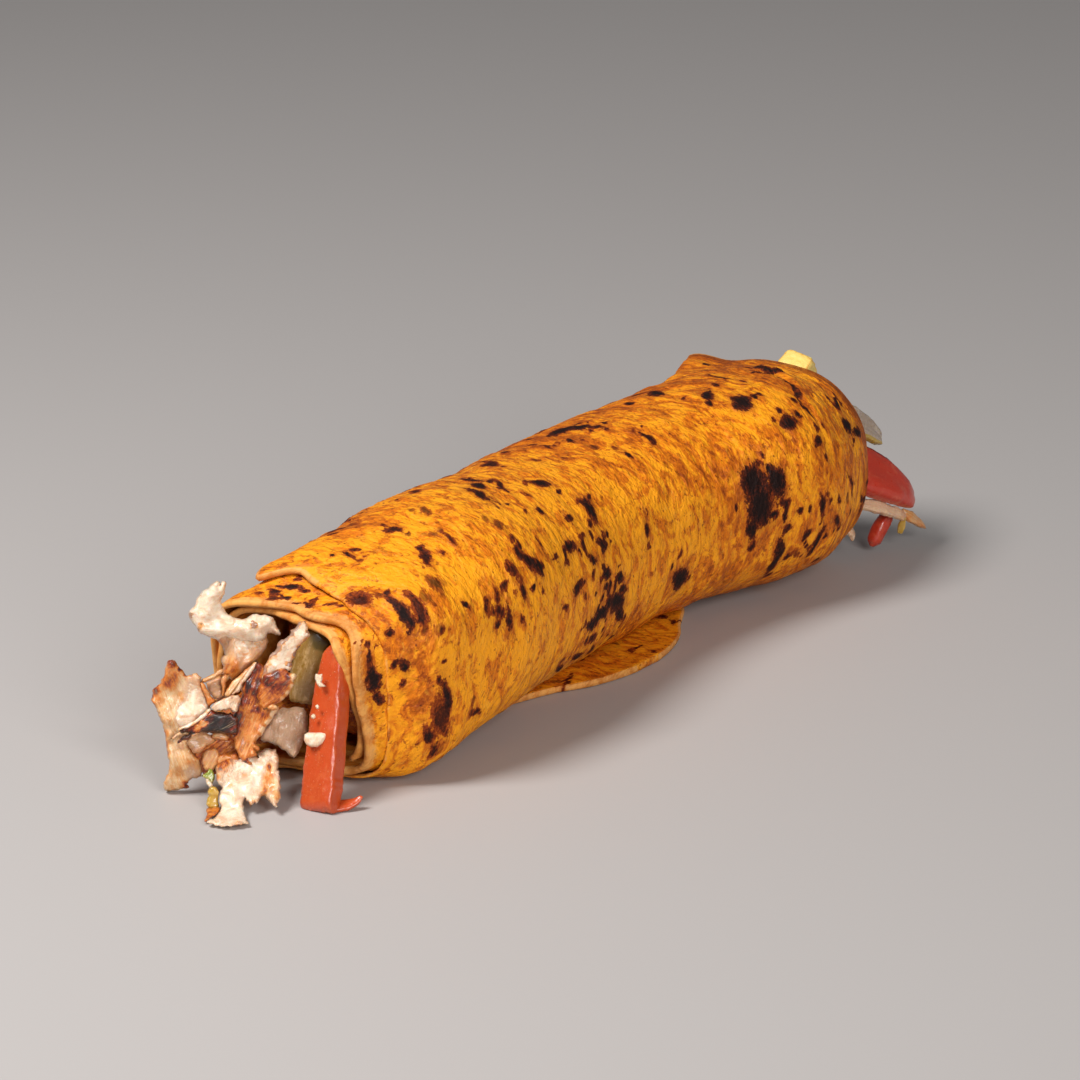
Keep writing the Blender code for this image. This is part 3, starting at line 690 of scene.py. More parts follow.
def run_nodes(thing, tree, **inputs):
    """Run a node group on a piece and keep the result as its plain mesh."""
    modifier = thing.modifiers.new(tree.name, "NODES")
    modifier.node_group = tree
    sockets = {item.name: item.identifier for item in tree.interface.items_tree
               if item.item_type == "SOCKET" and item.in_out == "INPUT"}
    for name, value in inputs.items():
        modifier[sockets[name.replace("_", " ")]] = value
    evaluated = thing.evaluated_get(bpy.context.evaluated_depsgraph_get())
    mesh = bpy.data.meshes.new_from_object(evaluated)
    mesh.name = thing.name
    thing.modifiers.remove(modifier)
    thing.data = mesh
    return thing


def finish_piece(thing, slot, *nodes):
    """Hand a finished piece to the frame."""
    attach(thing, "root")
    if nodes:
        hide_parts(*nodes)


GOLD = (0.94, 0.345, 0.010)
ORANGE = (0.70, 0.175, 0.006)
TOAST = (0.36, 0.066, 0.004)
BROWN = (0.24, 0.040, 0.005)
CRUMB = (0.78, 0.40, 0.13)
# The inner face's colour: soaked with sauce, and darker still as painted shade inside the roll.
SOAKED = (0.34, 0.095, 0.009)
SCORCH_STOPS = ((0.0, (0.36, 0.070, 0.006)), (0.32, (0.21, 0.030, 0.003)), (0.62, (0.065, 0.010, 0.003)),
                (1.0, (0.012, 0.004, 0.003)))


def bread_material():
    paint = Paint("baked_flatbread", Specular_IOR_Level=0.16)
    sheet = paint.mark_vector("sheet")
    slanted = paint.node("ShaderNodeMapping", inputs={"Vector": sheet, "Rotation": (0, 0, math.radians(11))})
    toast = paint.mark("toast")
    broad = paint.noise(sheet, (24.0, 16.0, 16.0), detail=3, bend=1.0)
    patches = paint.noise(sheet, (8.5, 5.0, 6.0), detail=5, rough=0.62, bend=1.3)
    mottle = paint.noise(sheet, (3.4, 2.1, 2.6), detail=4, rough=0.65, bend=0.9)
    fibres = paint.noise(slanted, (4.4, 2.3, 2.4), detail=3, rough=0.55, bend=1.6)
    wrinkles = paint.noise(slanted, (15.0, 4.0, 4.0), detail=4, rough=0.55, bend=1.6)
    streaks = paint.noise(slanted, (3.6, 1.1, 1.2), detail=4, rough=0.65, bend=0.8)
    fine = paint.noise(sheet, (0.8, 0.55, 0.7), detail=3, rough=0.7)
    lumpy = paint.noise(slanted, (4.8, 3.3, 3.6), detail=2, rough=0.5, bend=0.9)
    grainy = paint.noise(slanted, (2.1, 1.5, 1.7), detail=2, rough=0.5, bend=0.8)
    # The mark read here holds real toasting and painted shade; it browns the tone.
    tone = patches.over(0.41, 0.62) * 0.85 + mottle.over(0.43, 0.63) * 0.5 + broad.over(0.38, 0.62) * 0.4
    tone = tone + toast * 0.85 + (fibres - 0.5) * 0.3 + (lumpy - 0.5) * 0.6 - 0.54
    colour = paint.mix(GOLD, ORANGE, tone.over(0.05, 0.85))
    colour = paint.mix(colour, TOAST, tone.over(0.76, 1.5) * 0.8)
    # Pale gold spots on the lumps: painted highlights in the bread's colour.
    bright = (fibres * 0.5 + mottle * 0.5 - toast * 0.06).over(0.51, 0.66) * 0.4
    colour = paint.mix(colour, (1.0, 0.49, 0.045), bright)
    veins = wrinkles.near(0.5, 0.03) * patches.over(0.42, 0.58)
    colour = paint.mix(colour, TOAST, veins * 0.6)
    freckles = (paint.noise(sheet, (1.9, 1.4, 1.5), detail=4, rough=0.75, bend=0.7) + toast * 0.03
                + (patches - 0.5) * 0.35).over(0.565, 0.65)
    colour = paint.mix(colour, BROWN, freckles * 0.72)
    dots = paint.node("ShaderNodeTexVoronoi", {"feature": "F1"}, {
        "Vector": paint.vector("MULTIPLY", sheet, (0.33, 0.42, 0.4)), "Scale": 1.0}, output="Distance")
    flecks = (1 - dots.over(0.06, 0.14)) * mottle.over(0.46, 0.54)
    colour = paint.mix(colour, (0.09, 0.015, 0.004), flecks * 0.85)
    ragged = (mottle - 0.5) * 0.8 + (fine - 0.5) * 0.6 + (grainy - 0.5) * 0.5
    field = paint.mark("scorch") + ragged
    depth = paint.mark("scorch_depth")
    colour = paint.mix(colour, (0.38, 0.080, 0.008), field.over(-0.8, 0.2) * depth * 0.62)
    burnt = field.over(-0.02, 0.16) * depth.over(0.08, 0.42)
    darkness = depth * 0.66 + field.over(0.1, 0.7) * 0.55 + (fine - 0.5) * 0.9 + (streaks - 0.5) * 0.8 - 0.12
    colour = paint.mix(colour, paint.ramp(darkness, SCORCH_STOPS), burnt)
    # The inner face: sauce-soaked orange-brown, darkened further as painted shade inside the roll.
    soaked = paint.mix(SOAKED, (0.54, 0.23, 0.05), paint.noise(sheet, (7, 4, 5), detail=4).over(0.44, 0.66))
    colour = paint.mix(colour, soaked, paint.mark("inside").over(0.35, 0.75))
    edge = paint.mark("rim") + (mottle - 0.5) * 3.0 + (fine - 0.5) * 1.2
    baked_edge = paint.mix(CRUMB, (0.60, 0.20, 0.025), (mottle * 0.6 + patches * 0.5).over(0.46, 0.70) * 0.8)
    colour = paint.mix(colour, baked_edge, (1 - edge.over(0.6, 1.9)) * (1 - burnt) * 0.72)
    paint.feed("Base Color", colour)
    paint.feed("Roughness", 0.5 + (fine - 0.5) * 0.4 + burnt * 0.2)
    soft = 1 - 0.75 * paint.mark("firm")
    height = lumpy * 1.5 + grainy * 0.8 + wrinkles * 0.6 - freckles * 0.06
    coarse = paint.bump(height * soft, 0.72, 0.9)
    paint.feed("Normal", paint.bump(fine * 0.7 + freckles * 0.3 + burnt * fine, 0.4, 0.16, coarse))
    return paint.material


SEAM_TURN = 1.04
OUTER_ROWS = 200
ACROSS_COUNT = 226
RIM_CROWDING = 0.055
even = np.linspace(0, 1, ACROSS_COUNT)
crowded = even - RIM_CROWDING * np.sin(2 * np.pi * even)
outer_end = FLAP_LENGTH + SEAM_TURN * AROUND
flatbread = make_sheet("flatbread_outer", np.linspace(FLAP_TIP, outer_end, OUTER_ROWS), crowded)
mouths = np.concatenate([np.linspace(0, 0.13, 40), np.linspace(0.17, 0.85, 8), np.linspace(0.88, 1, 30)])
hidden_rows = np.linspace(outer_end, FLAP_LENGTH + TURNS * AROUND, 230)
hidden_plies = make_sheet("flatbread_inner", hidden_rows, mouths)
relief = relief_tree()
baked = bread_material()
for piece in (flatbread, hidden_plies):
    run_nodes(piece, relief, Long_size=8.0, Side_size=3.8, Coarse_height=0.6, Fine_size=3.0,
              Fine_height=0.26, Seed=2.0, Marks="sheet", Material=baked)
    finish_piece(piece, "bread", "flatbread")

# ---------------------------------------------------------------------------------------------
# The grilled chicken: thin slices cut from a stack of thigh and breast, so each has a browned or
# charred rind, long fibres and torn, frayed ends. The slices at the near mouth are flat pieces
# torn to an outline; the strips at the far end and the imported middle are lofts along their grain.
UP_FACE = (-0.2, -0.35, 0.92)
FAR_FACE = (0.25, -0.9, 0.35)
FLOOR_GAP = 0.15
CORE_NEAR_X = -106.4
CORE_FAR_X = 97.4
CORE_INSET = 8.9
CORE_DOME = 6.0
CORE_CLOSING = 12.0
# The plane across the near mouth in which the torn slices are cut: to the right, up, and out.
MOUTH_SPOT = np.array((-130.0, -1.0, 31.6))
MOUTH_RIGHT = unit(np.array((0.594, -0.803, -0.016)))
MOUTH_OUT = unit(np.array((-0.751, -0.562, 0.348)))
MOUTH_UP = np.cross(MOUTH_OUT, MOUTH_RIGHT)


def with_reach(rows):
    """The rows of a piece's middle line, each after its distance along the line."""
    rows = np.array(rows, float)
    steps = np.linalg.norm(np.diff(rows[:, :3], axis=0), axis=1)
    return np.column_stack([np.append(0.0, np.cumsum(steps)), rows])


def stain(points, spots, seed=2):
    """A value at each point: the first number, and what each spot of place, radius adds."""
    start, *spots = spots
    values = np.full(points.shape[:-1], float(start))
    for *spot, radius, amount in spots:
        spot = spot + [0.0] * (3 - len(spot))
        distance = np.linalg.norm(points - spot, axis=-1) / radius
        distance = distance + 0.3 * lumps(points, radius * 0.6, seed)
        values += amount * (1 - ease(distance - 0.35))
    return values


def strip_caps(rings, sides):
    """Close both ends of a loft with a strip across from each point to its opposite one."""
    caps = []
    for start, turned in ((0, False), ((rings - 1) * sides, True)):
        for seat in range(sides // 2):
            face = list(dict.fromkeys([seat + 1, seat, -seat % sides, (-seat - 1) % sides]))
            caps.append([start + corner for corner in (face[::-1] if turned else face)])
    return caps


def torn_piece(name, rows, face, slices=100, sides=60, squareness=2.6, fray=1.0, ragged=0.12,
               wave=0.4, skin=0.0, seed=1, browned=(0.0,), sauced=(0.0,)):
    """A torn or cut piece along rows of X, Y, Z, half width and half thickness, in mm.

    Skin of 1 or -1 marks one long side as browned.
    """
    table = with_reach(rows)
    length = table[-1, 0]
    angle = 2 * np.pi * np.arange(sides) / sides
    wide, thick = (np.copysign(abs(part) ** (2 / squareness), part) for part in (np.cos(angle), np.sin(angle)))
    share = np.linspace(0, 1, slices)[:, None]
    share = share - 0.07 * np.sin(2 * np.pi * share)
    ends = [fray * lumps(stack(wide * max(table[end, 4], 1.5), 0.0, end * 5.0), 1.1, seed) for end in (0, -1)]
    along = ends[0] + (length + ends[1] - ends[0]) * share
    inside = np.clip(along, 0, length)
    row = read_table(table, inside)
    lead = unit(read_table(table, inside + 0.4)[..., :3] - read_table(table, inside - 0.4)[..., :3])
    centre = row[..., :3] + lead * (along - inside)[..., None]
    across = unit(np.cross(np.broadcast_to(face, lead.shape), lead))
    through = np.cross(lead, across)
    left = np.where(wide > 0, 0.0, 9.0)
    torn = sum(size * lumps(stack(along, left, seed), step, seed) for step, size in ((2.6, 1.0), (1.0, 0.6)))
    close = np.clip(np.minimum(share, 1 - share) * length / (row[..., 4] * 0.9 + 0.2), 0, 1)
    taper = 0.1 + 0.9 * np.sqrt(1 - (1 - close) ** 2)
    wide_mm = wide * row[..., 3] * (1 + ragged * torn) * (0.8 + 0.2 * taper)
    thick_mm = thick * row[..., 4] * taper
    lift = thick_mm + wave * lumps(stack(along, wide_mm, seed), 4.5, seed)
    points = centre + across * wide_mm[..., None] + through * lift[..., None]
    points[..., 2] = np.maximum(points[..., 2], FLOOR_GAP)
    skinned = ease((wide * skin - 0.66) / 0.2) + 0 * along
    marks = {"fibre": stack(along, wide_mm, thick_mm), "front": np.broadcast_to(thick, along.shape),
             "browned": stain(points, browned) + skinned, "sauced": stain(points, sauced)}
    faces = loop_faces(slices, sides).tolist() + strip_caps(slices, sides)
    return make_mesh(name, points, faces, marks)


def torn_outline(corners, rag, seed, step=0.32):
    """A closed outline through the corners in short steps, torn in and out."""
    corners = np.array(corners, float)
    line = []
    for start, end in zip(corners, np.roll(corners, -1, axis=0)):
        count = max(int(np.linalg.norm(end - start) / step), 1)
        line.append(start + (end - start) * (np.arange(count) / count)[:, None])
    line = np.concatenate(line)
    lead = np.roll(line, -1, axis=0) - np.roll(line, 1, axis=0)
    out = unit(stack(lead[:, 1], -lead[:, 0]))
    spot = stack(line[:, 0], line[:, 1], 3.1 * seed)
    return line + out * (rag * (lumps(spot, 1.3, seed) + 0.7 * lumps(spot, 0.55, seed + 1)))[:, None]


def reach_inside(points, line):
    """How far each point is from a closed outline, and whether it lies inside it."""
    ends = np.roll(line, -1, axis=0)
    span = ends - line
    away = points[:, None] - line
    share = np.clip((away * span).sum(-1) / (span * span).sum(-1), 0, 1)
    reach = np.linalg.norm(away - share[..., None] * span, axis=-1).min(axis=1)
    level = points[:, 1:]
    passed = (line[:, 1] > level) != (ends[:, 1] > level)
    slope = span[:, 0] / np.where(span[:, 1] == 0, 1e-9, span[:, 1])
    before = points[:, :1] < line[:, 0] + (level - line[:, 1]) * slope
    return reach, (passed & before).sum(axis=1) % 2 == 1


def torn_slice(name, corners, depths, thick=2.4, round_off=0.8, grain=0.0, wave=0.5, rag=0.2, seed=1,
               browned=(0.0,), sauced=(0.0,), crisp=0.0, spacing=0.4):
    """A slice torn to an outline in the mouth's plane; depths are rows of height and place out."""
    line = torn_outline(corners, rag, seed)
    low, high = line.min(axis=0), line.max(axis=0)
    right, up = np.meshgrid(np.arange(low[0], high[0], spacing), np.arange(low[1], high[1], spacing))
    right[::2] += spacing / 2
    dice = np.random.default_rng(seed)
    grid = stack(right, up).reshape(-1, 2) + dice.uniform(-0.2, 0.2, (right.size, 2)) * spacing
    reach, inside = reach_inside(grid, line)
    inner = grid[inside & (reach > 0.55 * spacing)]
    flat = [Vector(spot) for spot in np.concatenate([line, inner]).tolist()]
    spots, _, faces, *_ = delaunay_2d_cdt(flat, [], [list(range(len(line)))], 1, 1e-4)
    spots = np.array([spot[:] for spot in spots])
    faces = np.array(faces)
    sides = np.sort(np.concatenate([faces[:, [0, 1]], faces[:, [1, 2]], faces[:, [2, 0]]]), axis=1)
    edges, times = np.unique(sides, axis=0, return_counts=True)
    rim = np.zeros(len(spots), bool)
    rim[edges[times == 1].ravel()] = True
    reach, _ = reach_inside(spots, line)
    spot = stack(spots[:, 0], spots[:, 1], 0.0)
    close = np.clip(reach / round_off, 0, 1)
    half = thick / 2 * np.sqrt(1 - (1 - close) ** 2) * (1 + 0.2 * lumps(spot, 3.0, seed + 2))
    half[rim] = 0
    middle = read_table(depths, spots[:, 1])[:, 0]
    middle = middle + wave * (lumps(spot, 5.0, seed + 3) + 0.5 * lumps(spot, 2.0, seed + 4))
    base = MOUTH_SPOT + spots[:, :1] * MOUTH_RIGHT + spots[:, 1:] * MOUTH_UP
    behind = np.where(rim, np.arange(len(spots)), len(spots) + np.cumsum(~rim) - 1)
    points = np.concatenate([base + (middle + half)[:, None] * MOUTH_OUT,
                             (base + (middle - half)[:, None] * MOUTH_OUT)[~rim]])
    points[:, 2] = np.maximum(points[:, 2], FLOOR_GAP)
    turn = math.radians(grain)
    along = spots @ np.array((math.cos(turn), math.sin(turn)))
    side = spots @ np.array((-math.sin(turn), math.cos(turn)))
    fibre = np.concatenate([stack(along, side, middle * 0.5 + half), stack(along, side, -half)[~rim]])
    crust = crisp * np.exp(-(reach / 0.7) ** 2) * (1 + lumps(spot, 1.6, seed + 5))
    brown, coat = stain(spot, browned) + crust, stain(spot, sauced)
    marks = {"fibre": fibre, "front": np.append(np.ones(len(spots)), -np.ones((~rim).sum())),
             "browned": np.append(brown, brown[~rim]), "sauced": np.append(coat, coat[~rim])}
    return make_mesh(name, points, [*faces.tolist(), *behind[faces][:, ::-1].tolist()], marks)


def filling_core():
    """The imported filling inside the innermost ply, domed at both mouths."""
    share = np.linspace(0, 1, 170)[:, None]
    x = CORE_NEAR_X + (CORE_FAR_X - CORE_NEAR_X) * (share - 0.08 * np.sin(2 * np.pi * share))
    turn = np.arange(72)[None, :] / 72
    close = np.clip(np.minimum(x - CORE_NEAR_X, CORE_FAR_X - x) / CORE_DOME, 0, 1)
    closing = CORE_CLOSING * (1 - np.sqrt(1 - (1 - close) ** 2))
    points = ring_point(x + 0 * turn, turn, CORE_INSET + closing)
    # The spot at the near mouth browns the core there: painted shade inside the mouth.
    marks = {"fibre": points, "browned": stain(points, (0.42, (-106.0, 3.0, 30.0, 24.0, 0.22))),
             "sauced": stain(points, (0.05,))}
    faces = loop_faces(170, 72).tolist() + strip_caps(170, 72)
    return make_mesh("packed_filling", points, faces, marks)


MEAT_STOPS = ((0.0, (0.84, 0.57, 0.32)), (0.20, (0.72, 0.36, 0.13)), (0.44, (0.66, 0.185, 0.018)),
              (0.63, (0.27, 0.030, 0.004)), (0.78, (0.058, 0.008, 0.003)), (1.0, (0.010, 0.004, 0.003)))
SAUCE = (0.86, 0.66, 0.47)
THIN_SAUCE = (0.62, 0.37, 0.25)
OIL = (0.80, 0.30, 0.04)


def chicken_material():
    paint = Paint("grilled_chicken", Subsurface_Weight=0.2, Subsurface_Scale=0.0015,
                  Subsurface_Radius=(1.0, 0.45, 0.2), Coat_Weight=0.45, Coat_Roughness=0.14,
                  Specular_IOR_Level=0.4)
    fibre = paint.mark_vector("fibre")
    place = paint.place()
    strands = paint.noise(fibre, (9.0, 0.75, 0.9), detail=3, rough=0.6, bend=0.35)
    thin = paint.noise(fibre, (4.0, 0.28, 0.35), detail=2, rough=0.6, bend=0.3)
    blotch = paint.noise(place, 2.4, detail=4, rough=0.65, bend=0.5)
    fine = paint.noise(place, 0.6, detail=3, rough=0.6)
    browned = paint.mark("browned")
    browned = browned + (strands - 0.5) * 0.68 + (blotch - 0.5) * 0.6 + (thin - 0.5) * 0.35 + (fine - 0.5) * 0.2
    colour = paint.ramp(browned, MEAT_STOPS)
    colour = paint.mix(colour, (0.82, 0.58, 0.34), (thin * 0.6 + strands * 0.6).over(0.66, 0.84) * 0.4)
    sauced = paint.mark("sauced") + (blotch - 0.5) * 0.8 + (fine - 0.5) * 0.4
    mauve = sauced.over(0.16, 0.40) * 0.6
    colour = paint.mix(colour, THIN_SAUCE, mauve)
    oil = paint.noise(place, (3.0, 3.0, 2.2), detail=4, rough=0.65, bend=0.9)
    cream = paint.mix((0.92, 0.77, 0.60), SAUCE, oil.over(0.35, 0.5))
    cream = paint.mix(cream, (0.76, 0.45, 0.27), oil.over(0.47, 0.64) * 0.8)
    oily = paint.mix(cream, OIL, (oil * 0.9 + paint.mark("browned") * 0.8 + (fine - 0.5) * 0.3).over(0.58, 0.86) * 0.85)
    coated = sauced.over(0.38, 0.62) * (1 - browned.over(0.44, 0.60))
    colour = paint.mix(colour, oily, coated)
    paint.feed("Base Color", colour)
    paint.feed("Roughness", 0.40 - coated * 0.12 + (fine - 0.5) * 0.3)
    crisp = paint.noise(place, 0.45, detail=2, rough=0.6) * browned.over(0.3, 0.6)
    grain = paint.bump((strands * 0.9 + thin * 0.5) * (1 - coated * 0.7), 0.8, 0.35)
    paint.feed("Normal", paint.bump(fine * (1 - coated * 0.6) + blotch * 0.6 + crisp * 1.2, 0.55, 0.18, grain))
    return paint.material


# Torn slices at the near mouth. Outlines are rows of right and up in mm in the mouth's plane.
SLICE_FAN = (
    (-28.6, 4.9), (-27.6, 5.4), (-26.9, 5.0), (-26.2, 4.0), (-25.5, 3.1), (-25.0, 2.8), (-24.5, 2.0),
    (-24.0, 1.4), (-23.5, 1.2), (-22.8, 1.5), (-22.2, 1.9), (-21.3, 1.9), (-20.8, 1.5), (-20.0, 0.8),
    (-20.3, -0.4), (-20.0, -1.4), (-19.2, -3.4), (-18.6, -4.8), (-18.0, -6.0), (-17.8, -8.0), (-19.5, -11.0),
    (-22.5, -14.0), (-23.4, -15.6), (-23.0, -17.2), (-22.2, -18.6), (-21.6, -19.4), (-20.2, -19.8),
    (-19.8, -21.5), (-19.6, -22.4), (-19.9, -23.5), (-20.3, -24.4), (-21.2, -24.9), (-22.5, -25.0),
    (-23.5, -25.6), (-24.0, -26.4), (-23.4, -27.2), (-24.5, -27.6), (-26.5, -28.0), (-28.3, -28.3),
    (-29.7, -28.2), (-30.0, -27.4), (-30.0, -26.2), (-29.5, -25.0), (-28.7, -23.8), (-28.4, -22.5),
    (-28.5, -20.5), (-28.8, -19.0), (-29.1, -17.5), (-29.2, -15.5), (-29.3, -13.5), (-29.8, -11.5),
    (-30.2, -10.2), (-30.8, -8.8), (-31.4, -7.4), (-32.3, -5.8), (-32.9, -4.8), (-32.5, -4.2),
    (-32.6, -3.2), (-32.8, -2.6), (-32.2, -1.9), (-31.0, -1.0), (-30.2, -0.2), (-29.8, 0.8), (-29.4, 2.0),
    (-29.4, 3.0), (-29.0, 4.0),
)
FAN_BROWNED = (
    0.10, (-27.8, 4.6, 1.5, 0.42), (-25.6, 3.0, 0.7, 0.5), (-24.2, 1.5, 0.6, 0.5), (-22.8, 1.4, 0.6, 0.3),
    (-28.0, 2.2, 2.6, 0.2), (-27.8, -0.6, 2.0, 0.3), (-26.0, 1.4, 1.6, 0.12), (-32.0, -2.8, 1.6, 0.3),
    (-31.4, -5.2, 2.0, 0.26), (-30.0, -1.5, 2.0, 0.2), (-25.4, -3.4, 0.8, 0.2), (-24.8, -4.8, 0.7, 0.25),
    (-29.3, -13.5, 1.1, 0.25), (-29.2, -16.0, 1.2, 0.32), (-29.0, -18.5, 1.0, 0.28), (-22.6, -21.2, 1.6, 0.26),
    (-26.0, -23.5, 1.8, 0.16), (-24.2, -26.8, 1.3, 0.5), (-20.2, -19.6, 0.8, 0.3), (-20.6, -0.5, 1.0, 0.2),
)
FAN_SAUCED = (
    0.08, (-22.2, -7.2, 4.2, 0.85), (-23.2, -10.0, 3.0, 0.7), (-21.0, -5.8, 2.2, 0.5), (-19.6, -8.2, 1.8, 0.7),
    (-22.4, -1.5, 3.6, 0.3), (-22.6, -23.6, 2.4, 0.3), (-26.6, -16.0, 3.4, 0.16),
)
SLICE_CHARRED = (
    (-6.0, 5.2), (-5.0, 4.4), (-3.6, 2.6), (-1.0, 0.0), (0.0, -3.4), (-1.0, -5.8), (-0.5, -6.6), (-0.6, -7.2),
    (-1.2, -8.2), (-2.2, -9.6), (-3.4, -11.2), (-4.2, -12.6), (-5.1, -14.2), (-5.9, -15.0), (-6.3, -15.9),
    (-5.5, -16.8), (-5.4, -17.5), (-6.2, -17.8), (-6.7, -17.4), (-6.4, -18.1), (-5.9, -18.8), (-5.2, -20.1),
    (-6.2, -19.4), (-7.4, -19.5), (-8.3, -19.9), (-7.4, -20.9), (-5.5, -22.2), (-7.0, -21.8), (-8.4, -21.2),
    (-9.6, -20.4), (-10.4, -19.4), (-10.8, -18.6), (-11.6, -17.2), (-11.8, -16.0), (-12.0, -14.6),
    (-12.4, -13.2), (-12.8, -11.6), (-12.6, -10.0), (-12.0, -8.6), (-11.2, -7.6), (-10.6, -6.0),
    (-10.2, -4.6), (-9.6, -3.4), (-10.0, -2.4), (-9.3, -0.8), (-8.2, 1.0), (-7.0, 3.0),
)
CHARRED_BROWNED = (
    0.40, (-6.4, 3.4, 1.8, 0.30), (-7.4, 0.8, 2.2, 0.26), (-8.4, -1.6, 1.6, 0.30), (-6.8, -3.2, 2.4, 0.28),
    (-9.4, -5.2, 1.6, 0.3), (-12.0, -10.6, 1.9, 0.46), (-11.8, -12.8, 1.3, 0.36), (-11.2, -8.6, 1.5, 0.36),
    (-6.2, -7.4, 1.3, 0.34), (-4.2, -9.2, 1.4, 0.16), (-1.6, -8.6, 1.1, -0.8), (-2.8, -10.6, 1.1, -0.8),
    (-4.2, -12.8, 1.1, -0.7), (-5.4, -15.0, 1.1, -0.6), (-1.0, -7.2, 0.8, -0.5), (-9.6, -17.6, 1.8, -0.1),
    (-8.8, -20.6, 0.9, 0.32), (-6.6, -21.6, 0.8, 0.36), (-5.4, -19.8, 0.5, 0.3),
)
SLICE_RIND = (
    (4.4, 15.0), (5.2, 15.1), (6.3, 15.2), (6.7, 14.4), (6.8, 13.0), (7.2, 11.6), (6.6, 10.6), (5.6, 9.6),
    (5.0, 8.9), (4.3, 8.0), (3.9, 7.2), (3.6, 6.2), (3.2, 5.3), (2.7, 4.6), (3.0, 3.6), (2.4, 2.6), (0.6, 2.2),
    (-1.6, 1.6), (-3.6, 0.6), (-4.9, 0.4), (-4.8, 1.6), (-4.2, 3.2), (-3.4, 4.6), (-2.9, 6.0), (-2.2, 7.2),
    (-1.2, 8.0), (-0.5, 9.4), (0.2, 10.4), (1.5, 10.9), (2.3, 11.6), (2.6, 12.6), (3.5, 13.2), (3.9, 14.2),
)
RIND_BROWNED = (
    -0.10, (3.8, 13.6, 0.9, 0.8), (2.6, 12.2, 1.1, 0.9), (0.8, 10.0, 1.3, 0.5), (-0.8, 8.0, 1.2, 0.75),
    (-2.0, 6.6, 1.5, 0.45), (-3.2, 4.2, 1.6, 0.45), (-4.4, 2.0, 1.2, 0.6), (1.6, 4.2, 0.8, 0.6),
    (2.6, 4.0, 0.7, 0.6), (4.6, 14.4, 0.6, 0.6), (0.6, 6.0, 1.2, 0.14), (-1.7, 7.5, 0.6, 0.6),
    (0.1, 9.8, 0.6, 0.6), (1.5, 10.8, 0.7, 0.7), (3.3, 13.0, 0.6, 0.6), (6.8, 12.4, 0.7, 0.6),
    (6.2, 10.2, 0.6, 0.6), (4.6, 8.4, 0.5, 0.7), (3.5, 6.6, 0.6, 0.7), (2.0, 8.4, 0.4, 0.5), (3.6, 11.0, 0.4, 0.5),
)
SLICE_LOBE = (
    (-4.8, 0.2), (-4.4, 1.0), (-3.6, 1.6), (-2.2, 2.2), (-1.2, 2.6), (0.0, 3.2), (1.0, 3.2), (1.8, 2.6),
    (2.6, 2.0), (3.6, 1.6), (3.8, 1.2), (3.4, 0.0), (3.2, -1.2), (2.8, -2.2), (2.0, -3.4), (1.0, -4.6),
    (0.2, -5.2), (-0.6, -5.9), (-1.8, -6.2), (-3.2, -6.8), (-4.4, -7.4), (-5.4, -6.0), (-6.0, -4.0), (-5.6, -1.6),
)
LOBE_BROWNED = (
    0.54, (0.6, 0.4, 1.8, 0.1), (-3.6, -0.2, 1.4, 0.16), (3.5, 0.8, 1.3, -0.8), (3.0, -1.6, 1.0, -0.75),
    (2.0, -3.2, 1.0, -0.6), (0.6, -4.8, 0.9, -0.5), (-1.2, -1.6, 1.6, 0.14), (1.8, 1.2, 0.7, 0.16),
    (-1.2, 2.0, 1.0, 0.1), (-4.4, -5.0, 2.0, -0.1),
)
SLICE_STRIP = (
    (-25.9, -12.6), (-24.8, -12.1), (-23.5, -12.0), (-22.5, -11.4), (-21.5, -10.7), (-20.5, -10.0),
    (-19.5, -9.3), (-18.8, -8.6), (-18.2, -7.8), (-17.7, -7.0), (-17.3, -7.4), (-16.6, -8.0), (-15.6, -8.0),
    (-14.5, -8.1), (-13.2, -8.4), (-12.0, -8.4), (-10.8, -9.4), (-10.6, -12.0), (-11.0, -14.0), (-12.8, -13.9),
    (-14.0, -13.3), (-15.5, -13.1), (-17.0, -13.3), (-18.5, -13.4), (-20.0, -13.1), (-21.5, -13.2),
    (-22.3, -13.8), (-23.2, -14.8), (-24.2, -15.3), (-25.5, -15.8), (-26.1, -16.0), (-25.9, -15.2),
    (-25.0, -14.3), (-24.2, -13.9), (-23.4, -13.8), (-22.9, -13.2), (-24.0, -12.9), (-25.3, -13.2),
)
STRIP_BROWNED = (
    0.80, (-20.6, -10.6, 1.8, -0.25), (-19.2, -10.9, 1.1, -0.36), (-18.0, -9.0, 1.1, -0.22),
    (-23.0, -11.9, 0.9, -0.2), (-21.2, -12.3, 1.0, -0.32), (-16.0, -11.0, 3.2, 0.2), (-12.0, -10.6, 1.6, -0.1),
)
